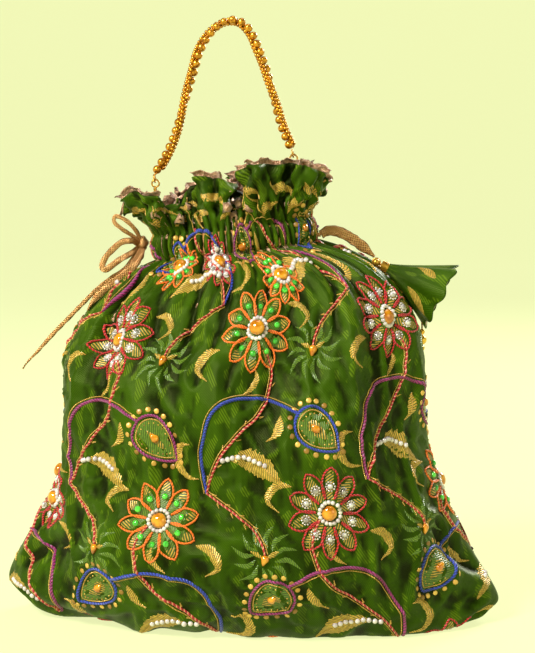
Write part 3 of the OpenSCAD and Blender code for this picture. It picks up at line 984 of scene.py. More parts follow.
    def shape(self) -> None:
        """Works out the whole panel: pouch, casing and frill as one grid, then its folds."""
        columns = 2 * int(self.half_cloth / self.cell) + 1
        self.across = np.linspace(-self.half_cloth, self.half_cloth, columns)
        pouch = self.plain_rows()
        below = len(pouch)
        casing = self.casing_rows()
        body = np.concatenate([pouch, casing])
        folds = self.depth_of_folds(below)
        body = body + self.lean(body) * np.clip(folds, -self.deepest, self.highest)[..., None]
        body[:, :, 2] = np.maximum(body[:, :, 2], self.floor_gap)
        self.neck_row = below - 1
        self.body_rows = len(body)
        self.points = np.concatenate([body, self.frill_rows(body[-1])])
        self.normals = self.lean(self.points)

    @staticmethod
    def lean(points: Array) -> Array:
        """Outward unit normals of a grid whose columns run right and rows run up."""
        return unit(np.cross(np.gradient(points, axis=1), np.gradient(points, axis=0)))

    def at(self, x: Array, z: Array, lift: Array | float = 0.0) -> Array:
        """Points over the cloth: between the four nearest grid points, moved along the normal.

        Args:
            x: cloth coordinate across.
            z: cloth coordinate up.
            lift: height over the cloth.

        Returns:
            Points in the part's frame.
        """
        spot, out = self.sample(self.points, x, z), unit(self.sample(self.normals, x, z))
        placed = spot + out * np.asarray(lift)[..., None]
        placed[..., 2] = np.maximum(placed[..., 2], 0.05)
        return placed

    def sample(self, grid: Array, x: Array, z: Array) -> Array:
        """Values between the four nearest points of a grid that matches the cloth's.

        Args:
            grid: values, rows by columns by anything.
            x: cloth coordinate across.
            z: cloth coordinate up.

        Returns:
            One value for each place.
        """
        c = np.clip((x + self.half_cloth) / (2 * self.half_cloth) * (len(self.across) - 1), 0,
                    len(self.across) - 1.001)
        r = np.clip(np.interp(z, self.up, np.arange(len(self.up))), 0, len(self.up) - 1.001)
        i, j = r.astype(int), c.astype(int)
        f, g = (r - i)[..., None], (c - j)[..., None]
        return ((1 - f) * ((1 - g) * grid[i, j] + g * grid[i, j + 1])
                + f * ((1 - g) * grid[i + 1, j] + g * grid[i + 1, j + 1]))

    def inside(self, x: Array, z: Array) -> Array:
        """True where a place lies on the cloth."""
        return (np.abs(x) < self.half_cloth - 1) & (z > -8) & (z < self.up[-1] - 1)

    def painted_shade_depth(self) -> Array:
        """How deep each point lies in a crease of the cloth, 0 to 1: how far its neighbours to both sides
        stand out beyond it along its normal. The brocade paints shade into its folds from it.

        Returns:
            One depth for each point.
        """
        columns = np.arange(len(self.across))
        total = np.zeros(self.points.shape[:2])
        for reach in (2, 4, 7):
            low, high = np.clip(columns - reach, 0, None), np.clip(columns + reach, None, columns[-1])
            chord = (self.points[:, low] + self.points[:, high]) / 2 - self.points
            total += (chord * self.normals).sum(-1) / (0.28 * reach)
        return np.clip(total / 2.1, 0, 1)

    def uv(self) -> Array:
        """Cloth coordinates of every grid point."""
        return np.stack(np.meshgrid(self.across, self.up), -1)

    def area(self) -> float:
        """Area of the shaped cloth in square metres.

        Returns:
            Square metres.
        """
        p = self.points * MM
        cells = np.cross(np.diff(p, axis=0)[:, :-1], np.diff(p, axis=1)[:-1])
        return float(np.linalg.norm(cells, axis=2).sum())

    def dress(self, finish: Brocade) -> None:
        """Args:
            finish: the brocade.
        """
        name = self.side.name.lower()
        bag = MeshBag()
        bag.grid(self.points, self.uv())
        piece = bag.build(f"{name}_brocade", Body.SACK, finish.make(f"{name}_brocade"), "brocade")
        # Painted shade: each point's depth in the folds, stored on the mesh to darken the brocade's colour
        # there.
        painted_fold_shade = piece.data.attributes.new("painted_fold_shade", "FLOAT", "POINT")
        painted_fold_shade.data.foreach_set("value", self.painted_shade_depth().ravel())
        thicken(piece, self.wall)
        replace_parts(piece, f"{name}_panel", f"{name}_casing", f"{name}_frill")
        LOG.info("%s cloth area %.4f m2, flat %.3f by %.3f m", name, self.area(), *self.flat(self.up))

    def flat(self, up: Array) -> tuple[float, float]:
        """Flat width and height in metres of rows at those cloth heights."""
        return 2 * self.half_cloth * MM, round(float(up[-1] - up[0]) * MM, 3)

    def line(self, finish: Tissue) -> None:
        """Builds the tissue lining, set in from the brocade, and its crumpled edge above the frill.

        Args:
            finish: the tissue.
        """
        name = self.side.name.lower()
        step = 2
        grid = (self.points - self.normals * (self.wall + self.lining_gap))[:self.body_rows:step, ::step]
        bag = MeshBag()
        bag.grid(grid, self.uv()[:self.body_rows:step, ::step])
        title = f"{name}_tissue_lining"
        lining = bag.build(title, Body.SACK, finish.make(title), "tissue")
        thicken(lining, self.lining_wall)
        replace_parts(lining, f"{name}_lining")
        rows = slice(self.body_rows - 2, None)
        x = self.across[None, :]
        z = self.up[rows][:, None]
        crumple = (0.5 * soft_noise(x, z, 5, 71) + 0.35 * soft_noise(x, z, 2.6, 72))[..., None]
        inner = self.points[rows] - self.normals[rows] * (self.wall + 0.7 + 0.3 * crumple)
        show = 1.9 + 0.9 * soft_noise(x[0], 0 * x[0], 7, 73)
        lip = inner[-1] + unit(inner[-1] - inner[-3]) * show[:, None]
        roll = lip + self.normals[-1] * 0.8 + unit(inner[-1] - inner[-3]) * 0.5
        edge = np.concatenate([inner, lip[None], roll[None]])
        up = np.concatenate([self.up[rows], self.up[-1] + np.array([2.0, 3.2])])
        bag = MeshBag()
        bag.grid(edge, np.stack(np.meshgrid(self.across, up), -1))
        title = f"{name}_tissue_edging"
        hem = bag.build(title, Body.SACK, finish.make(title), "tissue")
        thicken(hem, self.edging_wall)
        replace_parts(hem, f"{name}_edging")


# ---------------------------------------------------------------- embroidery


class Work(Enum):
    """The kinds of embroidery, each one piece over both panels."""

    ORANGE = "orange_rope_stitch"
    RED = "red_rope_stitch"
    MAGENTA = "magenta_rope_stitch"
    BLUE = "blue_rope_stitch"
    VINE = "vine_rope_stitch"
    GOLD_EDGE = "gold_couching"
    GOLD_LEAF = "woven_gold_leaves"
    PETAL = "petal_hatching"
    TONE = "self_green_sprigs"
    SEED = "white_seed_beads"
    AMBER = "amber_stones_set"
    GREEN = "green_stones_set"
    CLEAR = "clear_stones_set"


@dataclass
class Needle:
    """Lays stitches, leaves, beads and stones on one panel's cloth."""

    cloth: Cloth
    bags: dict[Work, MeshBag]
    sink: float = 0.25

    def strip(self, work: Work, line: list | Array, half: Array | float, rise: float,
              smooth: bool = True, step: float = 0.9, across: int = 5, turn: bool = False) -> None:
        """Lays a domed strip whose edges dip into the cloth.

        Args:
            work: its kind of stitch.
            line: cloth coordinates along the middle.
            half: half its width, one number or a profile spread evenly along it.
            rise: height of the crown.
            smooth: rounds the line through its points.
            step: spacing of its rows.
            across: points across.
            turn: serrates the edges, as a leaf's are.
        """
        line = np.asarray(line, float)
        count = max(4, int(run_along(line)[-1] / step))
        if smooth:
            line = even_curve(line, count)
        ahead = unit(np.gradient(line, axis=0))
        side = np.stack([ahead[:, 1], -ahead[:, 0]], 1)
        profile = np.atleast_1d(np.asarray(half, float))
        width = np.interp(np.linspace(0, 1, len(line)), np.linspace(0, 1, len(profile)), profile) \
            if len(profile) > 1 else np.full(len(line), profile[0])
        run = run_along(line)
        if turn:
            width = width * (0.86 + 0.28 * np.abs((run / 3.2) % 1.0))
        s = np.linspace(-1, 1, across)
        flat = line[:, None] + s[None, :, None] * width[:, None, None] * side[:, None]
        dome = (rise + self.sink) * np.sqrt(np.maximum(1 - s**2, 0)) - self.sink
        lift = np.broadcast_to(dome, flat.shape[:2])
        x, z = flat[..., 0], flat[..., 1]
        keep = self.cloth.inside(x, z)
        if work not in (Work.GOLD_LEAF, Work.GOLD_EDGE):
            keep &= z < self.cloth.up[self.cloth.body_rows - 1] + 3
        if keep.sum() < 6:
            return
        uv = np.stack([run[:, None] + 0 * x, s[None] * width[:, None]], -1)
        self.bags[work].grid(self.cloth.at(x, z, lift), uv, keep=keep)

    def studs(self, work: Work, centres: list | Array, radius: float, height: float, sides: int = 8,
              rings: int = 4, tear: float = 0.0, aim: float = 0.0) -> None:
        """Sets domes on the cloth, round or drawn out to a teardrop.

        Args:
            work: its kind of bead or stone.
            centres: cloth coordinates.
            radius: of the round part.
            height: half height; the lower third sits in the cloth.
            sides: sides round.
            rings: bands high.
            tear: how far the point is drawn out, as a share of the radius.
            aim: the point's direction, in degrees from X towards Z.
        """
        centres = np.atleast_2d(np.asarray(centres, float))
        centres = centres[self.cloth.inside(centres[:, 0], centres[:, 1])]
        if not len(centres):
            return
        shape, faces = ball(sides, rings)
        long = shape[:, 0] * (1 + tear * np.maximum(shape[:, 0], 0))
        wide = shape[:, 1] * (1 - 0.45 * min(tear, 1) * np.maximum(shape[:, 0], 0))
        c, s = math.cos(math.radians(aim)), math.sin(math.radians(aim))
        a, b = radius * (long * c - wide * s), radius * (long * s + wide * c)
        x, z = centres[:, 0], centres[:, 1]
        spot = self.cloth.at(x, z, 0.3 * height)
        out = unit(self.cloth.sample(self.cloth.normals, x, z))
        right = unit(np.cross(np.array([0.0, 0, 1]), out) * 1.0)
        right = np.where(np.abs(out[:, 2:]) > 0.95, np.array([1.0, 0, 0]), right)
        right = unit(right - out * (right * out).sum(1, keepdims=True))
        high = np.cross(out, right)
        placed = (spot[:, None] + a[None, :, None] * right[:, None] + b[None, :, None] * high[:, None]
                  + height * shape[None, :, 2:] * out[:, None])
        placed[..., 2] += np.maximum(-placed[..., 2].min(1), 0)[:, None]
        self.bags[work].copies(placed, faces, centres * 0.37)


@dataclass
class Pattern:
    """The embroidered repeat: flowers in rows half a column apart, joined by vines that mirror in
    turn, with eyes, drops, leaves and rows of beads."""

    needle: Needle
    column: float = 92.0
    row: float = 94.0
    first: tuple[float, float] = (-41.0, 73.0)
    shift: float = 55.0
    slope: float = 0.06
    petals: int = 10
    node: tuple[float, float] = (25.5, 15.5)
    leaves: tuple = (
        (((15, 16.5), (22, 17.5), (30, 14.5), (37, 9), (43, 3.4)), (0.6, 5.5, 7.5, 6.5, 3, 0.3)),
        (((44.5, 38.6), (43, 33), (39.5, 28.4), (35, 26)), (0.4, 2.6, 3.0, 1.2, 0.2)),
        (((30.5, 61.6), (31.5, 57), (28, 52), (23.4, 49)), (0.4, 1.8, 2.2, 1.2, 0.2)),
        (((-4, 7), (-12, 8), (-17, 15), (-14, 23), (-8, 24)), (0.3, 1.6, 3.2, 2.4, 0.2)),
        (((-4.5, -26.5), (3.5, -28.5), (7.5, -36.5), (0.5, -42.5)), (0.5, 3, 3.2, 1.4, 0.2)),
        (((-45.5, -1.5), (-53.5, -1.5), (-58.5, -8.5), (-52.5, -14.5)), (0.5, 2.4, 2.8, 1.2, 0.2)))
    stem: tuple = ((0, 0), (2, 5.5), (5, 12), (9.5, 19), (16.5, 26), (23, 32), (30, 37), (35, 43),
                   (37.5, 46.7), (40, 56), (40.4, 61), (38.7, 66), (35, 72))
    spur: tuple = ((0, 0), (8, -5), (17, -10.5), (25, -17), (29.5, -24), (31, -29))
    arc: tuple = ((0, 0), (-2, 12), (-2, 20), (0, 26), (4.5, 37), (11, 43.5), (19, 46.7), (27.5, 47.4),
                  (37, 47), (45.5, 44), (54.5, 39.5))

    def around(self, centre: Array, radius: float, count: int, start: float = 0.0) -> Array:
        """Points evenly round a circle."""
        turn = np.radians(start) + np.arange(count) * 2 * math.pi / count
        return centre + radius * np.stack([np.cos(turn), np.sin(turn)], 1)

    def flower(self, centre: Array, reach: float, orange: bool) -> None:
        """A flower of pointed rope-stitched petals round a stone in a ring of beads.

        A petal's half width is w (1 - s)^0.75 (0.36 + 1.76 s), s from its base to its tip.

        Args:
            centre: cloth coordinates of its stone.
            reach: length of a petal from the centre.
            orange: orange with green stones, or red with clear ones.
        """
        n, foot = self.needle, 0.3 * reach
        s = np.linspace(0, 1, 11)
        wide = 0.27 * reach * (1 - s) ** 0.75 * (0.36 + 1.76 * s)
        far = foot + s * (reach - foot)
        for k in range(self.petals):
            turn = 2 * math.pi * (k + 0.35) / self.petals
            ahead = np.array([math.cos(turn), math.sin(turn)])
            side = np.array([-ahead[1], ahead[0]])
            n.strip(Work.TONE if orange else Work.PETAL, centre + np.outer(far[:-1], ahead),
                    wide[:-1] * 0.95, 0.15, smooth=False, across=4)
            if orange:
                n.strip(Work.PETAL, centre + np.outer(far[6:-1], ahead), wide[6:-1] * 0.85, 0.3,
                        smooth=False, across=4)
            edge = np.vstack([np.outer(far, ahead) + np.outer(wide, side),
                              (np.outer(far, ahead) - np.outer(wide, side))[::-1][1:]])
            n.strip(Work.ORANGE if orange else Work.RED, centre + edge, 0.6, 0.75, smooth=False)
        stones = self.around(centre, 0.58 * reach, self.petals, 360 / self.petals * 0.35)
        if orange:
            n.studs(Work.GREEN, stones, 1.65, 1.2, 10, 6)
        else:
            n.studs(Work.CLEAR, stones, 1.6, 1.2, 8, 5)
            for stone in stones:
                n.studs(Work.SEED, self.around(stone, 2.25, 10), 0.55, 0.5, 6, 4)
        for k, rim in enumerate((0.2, 0.27)):
            spokes = self.around(centre, rim * reach, 26, 7 * k)
            n.studs(Work.TONE, spokes, 0.6, 0.35, 6, 4)
        n.studs(Work.SEED, self.around(centre, 5.4, 16), 1.2, 1.2, 8, 6)
        n.studs(Work.AMBER, centre, 3.9, 2.8, 20, 12)

    def leaf(self, line: list, half: list, rise: float = 0.3) -> None:
        """A woven gold leaf with serrated edges and a couched rib."""
        self.needle.strip(Work.GOLD_LEAF, line, half, rise, turn=True, across=7)
        self.needle.strip(Work.GOLD_EDGE, line, 0.35, rise + 0.25, across=4)

    def eye(self, joint: Array, tip: Array, stone: Array, work: Work) -> None:
        """A teardrop eye: rope outline, gold speckled inside, scallops outside, one stone.

        Its edge is (1 - cos a) / 2 along the axis and sin a cos(a / 2) across it.

        Args:
            joint: where its stem joins it.
            tip: its point.
            stone: its stone.
            work: its outline's thread.
        """
        n, axis = self.needle, tip - joint
        length = float(np.hypot(*axis))
        ahead = axis / length
        side = np.array([-ahead[1], ahead[0]])
        a = np.linspace(-math.pi, math.pi, 41)
        along, off = (1 - np.cos(a)) / 2 * length, 0.44 * length * np.sin(a) * np.cos(a / 2) ** 0.7 * 1.05
        edge = joint + np.outer(along, ahead) + np.outer(off, side)
        half = np.interp(np.linspace(0, 1, 14), along[20:] / length, np.abs(off[20:]))
        spine = joint + np.outer(np.linspace(0.02, 0.97, 14), axis)
        n.strip(Work.TONE, spine, half, 0.12, smooth=False)
        middle = joint + axis * 0.44
        n.strip(Work.PETAL, middle + (spine - middle) * 0.5, half * 0.5, 0.3, smooth=False)
        n.studs(Work.GOLD_EDGE, middle + (edge[1:-1:2] - middle) * 0.68, 0.45, 0.35, 6, 3)
        n.strip(work, edge, 0.8, 0.85, smooth=False)
        out = 1 + 2.6 / (0.4 * length)
        n.studs(Work.GOLD_EDGE, middle + (edge[2:-2:2] - middle) * out, 1.5, 0.3, 8, 4)
        n.strip(Work.GOLD_EDGE, middle + (edge - middle) * 0.84, 0.45, 0.3, smooth=False)
        n.studs(Work.AMBER, stone, 2.1, 1.6, 16, 8, tear=0.7,
                aim=math.degrees(math.atan2(ahead[1], ahead[0])) + 180)

    def drop(self, centre: Array, mirror: float) -> None:
        """A drop stone between gold sepals in a burst of self-green leaves.

        Args:
            centre: cloth coordinates of its stone.
            mirror: 1, or -1 where the row is mirrored.
        """
        n = self.needle
        for k, turn in enumerate(np.radians(np.arange(0, 360, 30) + 12)):
            ahead = np.array([math.cos(turn), math.sin(turn)])
            bend = np.array([-ahead[1], ahead[0]]) * 2.5 * mirror
            reach = 17 + 4 * math.sin(3.1 * k)
            blade = [centre + ahead * 5, centre + ahead * reach * 0.6 + bend, centre + ahead * reach]
            n.strip(Work.TONE, blade, [0.3, 2.3, 1.7, 0.2], 0.15, across=4)
        for turn in (25, 155):
            t = math.radians(turn)
            ahead = np.array([math.cos(t), math.sin(t)])
            n.strip(Work.GOLD_LEAF, [centre + ahead * 1.5, centre + ahead * 4.5, centre + ahead * 8],
                    [0.7, 1.7, 0.2], 0.4)
        n.studs(Work.AMBER, centre, 2.1, 1.7, 16, 8, tear=0.9, aim=250)

    def vine(self, points: Array, work: Work, half: float) -> None:
        """A rope-stitched vine with a couched gold line beside it and small gold thorns.

        Args:
            points: cloth coordinates along it.
            work: its thread.
            half: half its width.
        """
        line = even_curve(points, 60)
        ahead = unit(np.gradient(line, axis=0))
        side = np.stack([-ahead[:, 1], ahead[:, 0]], 1)
        self.needle.strip(work, line, half, 0.95)
        self.needle.strip(Work.GOLD_EDGE, line + side * (half + 0.75), 0.38, 0.3, across=4)
        if work is Work.VINE:
            thorns = np.arange(4, 58, 6)
            for n, k in enumerate(thorns):
                out = side[k] * (-1 if n % 2 else 1) * (half + 0.3)
                self.needle.strip(Work.GOLD_EDGE, [line[k] + out, line[k] + out * 2.6 + ahead[k] * 2.4],
                                  [0.8, 0.2], 0.35, across=4, step=0.6)

    def unit(self, flower: Array, mirror: float, work: Work) -> None:
        """One repeat that grows from beside a flower up to the next row's flower.

        Args:
            flower: cloth coordinates of the flower.
            mirror: 1, or -1 where the row is mirrored.
            work: the long arc's and its eye's thread.
        """
        node = flower + np.array(self.node) * [mirror, 1.0]

        def spots(*pairs: tuple) -> Array:
            """Places beside the node, mirrored with the row."""
            return node + np.array(pairs, float) * [mirror, 1.0]

        for line, half in self.leaves:
            self.leaf(spots(*line), list(half))
        self.vine(spots(*self.stem), Work.VINE, 0.7)
        self.vine(spots(*self.spur), Work.VINE, 0.65)
        self.vine(spots(*self.arc), work, 0.95)
        joint, tip, stone = spots((54.5, 39.5), (74, 21), (63, 31.5))
        self.eye(joint, tip, stone, work)
        self.drop(spots((31, -31))[0], mirror)
        self.needle.studs(Work.SEED, even_curve(spots((10, 16.5), (21, 18.2), (33, 14)), 9), 1.4, 1.3, 8, 6)

    def lay(self) -> None:
        """Covers the panel with the repeat."""
        for row in range(-1, 2):
            mirror = 1.0 if row % 2 == 0 else -1.0
            start = self.first[0] + (self.shift if row % 2 else 0.0)
            for col in range(-2, 4):
                x = start + col * self.column
                if abs(x) > 230:
                    continue
                z = self.first[1] + row * self.row + self.slope * x
                orange = col % 2 == 0
                flower = np.array([x, z])
                self.unit(flower, mirror, Work.BLUE if orange else Work.MAGENTA)
                self.flower(flower, 21.5 if orange else 23.0, orange)
        for x, z, orange in ((-62, 208, True), (-20, 211, False), (34, 199, True)):
            self.flower(np.array([x, z], float), 17.0, orange)
        self.frill_leaves()

    def frill_leaves(self) -> None:
        """Woven gold leaves scattered evenly over the frill, leaning in turn."""
        low = self.needle.cloth.up[self.needle.cloth.body_rows - 1]
        for k, x in enumerate(np.linspace(-132, 132, 17)):
            z, tip = low + 9 + 9 * (k % 2), 7.0 * (-1) ** k
            line = [(x - 10, z - tip * 0.6), (x - 4, z + 0.5), (x + 4, z + 1.5), (x + 11, z + tip * 0.5)]
            self.leaf(line, [0.3, 2.8, 3.6, 2.2, 0.2], 0.15)


@dataclass
class Embroidery:
    """All the needlework of both panels, one piece for each kind."""

    front: Cloth
    back: Cloth

    def finishes(self) -> dict[Work, tuple[object, str, tuple[str, ...]]]:
        """Each kind's finish, material slot, and the CAD nodes that it stands for.

        Returns:
            A finish, a slot and nodes for each kind.
        """
        thread = {
            Work.ORANGE: Thread("ff8410", "c25a06"),
            Work.RED: Thread("cc1418", "720a10"),
            Work.MAGENTA: Thread("9c2072", "5c1046"),
            Work.BLUE: Thread("2440b8", "121f6e"),
            Work.VINE: Thread("b01a26", "d89a70", pitch=2.4, share=0.22),
            Work.GOLD_EDGE: WovenGold("e6bc5c", "a87a2e", ground="8a6420", pitch=0.7, metal=0.3),
            Work.GOLD_LEAF: WovenGold(),
            Work.PETAL: WovenGold("cfa648", "8c6e26", ground="324d08", pitch=1.3, open=0.5),
        }
        return {work: (finish, "gold_thread", ()) for work, finish in thread.items()} | {
            Work.TONE: (WovenGold("63801a", "46640e", ground="2c4606", metal=0.05, pitch=1.0), "brocade", ()),
            Work.SEED: (Glass("d8d0cc", "b0a4a6", rough=0.15), "seed_beads",
                        ("seed_rings", "leaf_bead_rows")),
            Work.AMBER: (Glass("e39a1c", "a85a08", rough=0.06, metal=0.25), "amber_stone",
                         ("amber_stones", "eye_stones", "drop_stones")),
            Work.GREEN: (Glass("4fd23a", "1f8a1c"), "green_stone", ("green_petal_stones",)),
            Work.CLEAR: (Glass("dcd8d6", "8f8884", rough=0.03, metal=0.35), "clear_stone",
                         ("clear_petal_stones",)),
        }

    def build(self) -> None:
        """Lays the pattern on both panels and makes the pieces."""
        bags = {work: MeshBag() for work in Work}
        for cloth in (self.front, self.back):
            Pattern(Needle(cloth, bags)).lay()
        for work, (finish, slot, nodes) in self.finishes().items():
            piece = bags[work].build(work.value, Body.SACK, finish.make(work.value), slot)
            if nodes:
                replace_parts(piece, *nodes)


# ---------------------------------------------------------------- handle, ribbons and tassel


@dataclass
class Handle:
    """The arch of gold beads on its core thread, with small beads wound into its grooves."""

    left: tuple[float, float] = (-50.0, 231.6)
    right: tuple[float, float] = (22.0, 244.6)
    arch: tuple = ((-45, 239), (-41, 247), (-38, 255.5), (-35.5, 265), (-33, 274.5), (-30, 285),
                   (-27.5, 294), (-23, 302), (-17, 308), (-11, 310.5), (-5, 309.5), (0, 304), (3.5, 296),
                   (7, 287.5), (10, 278), (13, 268.5), (16, 258.5), (19, 251))
    bead: float = 4.0
    small: float = 2.1
    pitch: float = 4.5
    first: float = 3.0
    twist: float = 17.0
    swell: float = 0.8

    def build(self) -> None:
        """Makes the core, the large beads and the small ones wound round them.

        The large beads stand out from the line by the swell, and turn round it with the strand.
        """
        route = np.array([self.left, *self.arch, self.right])
        line = even_curve(np.stack([route[:, 0], 0 * route[:, 0], route[:, 1]], 1), 400)
        run = run_along(line)
        ahead = unit(np.gradient(line, axis=0))
        end = run[-1] - self.first + 0.1
        gold = Gilt("d8961c", "7c4606").make("handle_gold_beads")
        plain = Gilt("c98d2a", "8a5a14", 0.5, 0.4).make("handle_core_thread")
        core, large, small = MeshBag(), MeshBag(), MeshBag()
        tube(core, line[::5], 0.55, 8)

        def around(lengths: Array, degrees: Array | float, out: float) -> Array:
            """Places beside the line, turned round it by the strand's twist and then by degrees.

            Args:
                lengths: lengths from the left end.
                degrees: turn round the line.
                out: distance from the line.

            Returns:
                One point for each length.
            """
            across = np.array([0.0, 1.0, 0.0])
            middle, along = (np.stack([np.interp(lengths, run, axis) for axis in of.T], 1)
                             for of in (line, ahead))
            turn = np.radians(self.twist * lengths / self.pitch + degrees)[:, None]
            side = unit(np.cross(along, across))
            return middle + (np.cos(turn) * side + np.sin(turn) * across) * out

        spots = np.arange(self.first, end, self.pitch)
        radii = self.bead / 2 * np.random.default_rng(5).uniform(1.05, 1.16, len(spots))
        balls_at(large, around(spots, -60, self.swell), radii, 16, 10)
        seeds = np.arange(self.first, end, self.small * 0.98)
        for degrees in (75, 120, 165):
            balls_at(small, around(seeds + degrees / 60, degrees, self.bead * 0.43), self.small / 2, 10, 6)
        for bag, name, finish, node in ((core, "handle_core_thread", plain, "handle_core"),
                                        (large, "handle_large_beads", gold, "handle_beads_large"),
                                        (small, "handle_small_beads", gold, "handle_beads_small")):
            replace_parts(bag.build(name, Body.HANDLE, finish, "gold_beads"), node)


@dataclass
class Ribbon:
    """One length of mesh ribbon along its route, with a crinkled flat section."""

    name: str
    node: str
    body: Body
    route: tuple
    width: float
    exit: tuple[float, float, float]
    far_end: str
    thick: float = 0.5
    ends: tuple[float, float] = (0.8, 0.25)
    seed: int = 3

    def build(self, material: Material) -> Object:
        """Makes the ribbon: its width lies upright across the route, cupped and crinkled.

        Args:
            material: the mesh ribbon.

        Returns:
            The piece.
        """
        path = even_curve(self.route, 90)
        run = run_along(path)
        ahead = unit(np.gradient(path, axis=0))
        wide = unit(np.cross(ahead, np.array([0.0, 1.0, 0.0])))
        out = unit(np.cross(wide, ahead))
        s = np.linspace(-1, 1, 9)[None, :, None]
        t = (run / run[-1])[:, None, None]
        half = self.width / 2 * (self.ends[0] + (1 - self.ends[0]) * ease(t, 0, 0.15)) \
            * (1 - (1 - self.ends[1]) * ease(t, 0.75, 1))
        crinkle = soft_noise(run[:, None] * np.ones((1, 9)), 5 * s[..., 0], 6, self.seed)[..., None]
        cup = 0.12 * self.width * (s**2 - 0.4) + 0.22 * crinkle * np.abs(s)
        selvedge = 1 + 0.05 * soft_noise(run, 0 * run, 4, self.seed + 1)[:, None, None]
        points = path[:, None] + wide[:, None] * s * half * selvedge + out[:, None] * cup
        bag = MeshBag()
        bag.grid(points[:, ::-1], np.stack([(s * half)[..., 0], run[:, None] + 0 * s[..., 0]], -1)[:, ::-1])
        piece = bag.build(self.name, self.body, material, "mesh_ribbon")
        solid = piece.modifiers.new("wall", "SOLIDIFY")
        solid.thickness, solid.offset = self.thick * MM, 0.0
        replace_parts(piece, self.node)
        return piece


@dataclass
class Drawstrings:
    """The bow and tails at the left, and the ribbon that carries the tassel at the right."""

    knot: tuple[float, float, float] = (-56.5, 0.0, 196.05)
    knot_size: float = 7.0

    def ribbons(self) -> list[Ribbon]:
        """Every free length, along the same points as the CAD.

        Returns:
            Two loops, two tails and the ribbon that holds the tassel.
        """
        return [
            Ribbon("bow_upper_loop", "bow_loop_upper", Body.LEFT,
                   ((-57, -2, 197.5), (-60, -6, 204), (-64, -7, 208), (-67.5, -7.5, 210), (-70, -7.5, 210),
                    (-70, -7.5, 207), (-66, -7, 203.5), (-61, -4.5, 200), (-57.5, -2, 196.5)),
                   2.0, (-57, -2, 197.5), "object", ends=(0.9, 0.9), seed=21),
            Ribbon("bow_lower_loop", "bow_loop_lower", Body.LEFT,
                   ((-58, -1, 195), (-61, -7, 197.5), (-66, -9, 197), (-71, -10.5, 193), (-75, -11.5, 188),
                    (-76, -12, 184), (-74, -12.5, 183), (-71, -12, 185), (-67, -10, 188), (-62, -6, 191),
                    (-57.5, -1, 194.5)), 3.0, (-58, -1, 195), "object", ends=(0.9, 0.9), seed=22),
            Ribbon("left_short_tail", "left_tail_short", Body.LEFT,
                   ((-56.5, -1.5, 194), (-57.5, -7, 189.5), (-60, -12, 184.5), (-65, -14, 180),
                    (-70, -15, 176), (-75, -16, 172), (-80, -16, 167), (-83, -15, 162)),
                   4.2, (-56.5, -1.5, 194), "bare", seed=23),
            Ribbon("left_long_tail", "left_tail_long", Body.LEFT,
                   ((-57.5, -1, 194.5), (-60, -4, 190), (-65, -8, 183), (-71, -8.5, 179), (-77, -9, 174.5),
                    (-83, -9, 169), (-88, -8.5, 164), (-93, -8, 159), (-98, -7.5, 154), (-103, -7, 149),
                    (-108, -6.5, 143.5), (-113, -6, 138), (-117, -5.5, 134), (-120, -5, 130)),
                   2.0, (-57.5, -1, 194.5), "bare", seed=24),
            Ribbon("right_tassel_ribbon", "right_ribbon", Body.RIGHT,
                   ((36.45, 0, 200.86), (40, 0.5, 202.8), (44.5, 1, 202.6), (49, 2, 200.8), (53.5, 3, 198),
                    (57.5, 4, 195), (61, 5, 192), (64, 6, 189.3)),
                   5.4, (36.45, 0, 200.86), "object", seed=25),
        ]

    def build(self) -> None:
        """Makes the ribbons and the knot's wraps."""
        mesh_ribbon = MeshRibbon().make("copper_mesh_ribbon")
        for ribbon in self.ribbons():
            ribbon.build(mesh_ribbon)
        bag = MeshBag()
        high, turn = np.meshgrid(np.linspace(0.06, math.pi - 0.06, 24), np.arange(40) * math.pi / 20,
                                 indexing="ij")
        r = self.knot_size / 2 * (1 + 0.09 * np.sin(5 * high + 2 * np.sin(turn)) + 0.05 * np.sin(3 * turn))
        shape = np.stack([0.8 * np.sin(high) * np.cos(turn), np.sin(high) * np.sin(turn), np.cos(high)], -1)
        points = np.array(self.knot) + r[..., None] * shape
        uv = np.stack(np.meshgrid(np.linspace(0, 22, 41), np.linspace(0, 11, 24)), -1)
        bag.grid(points[::-1], uv, closed=True, capped=True)
        piece = bag.build("bow_knot_wraps", Body.LEFT, mesh_ribbon, "mesh_ribbon")
        weld(piece)
        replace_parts(piece, "left_knot")


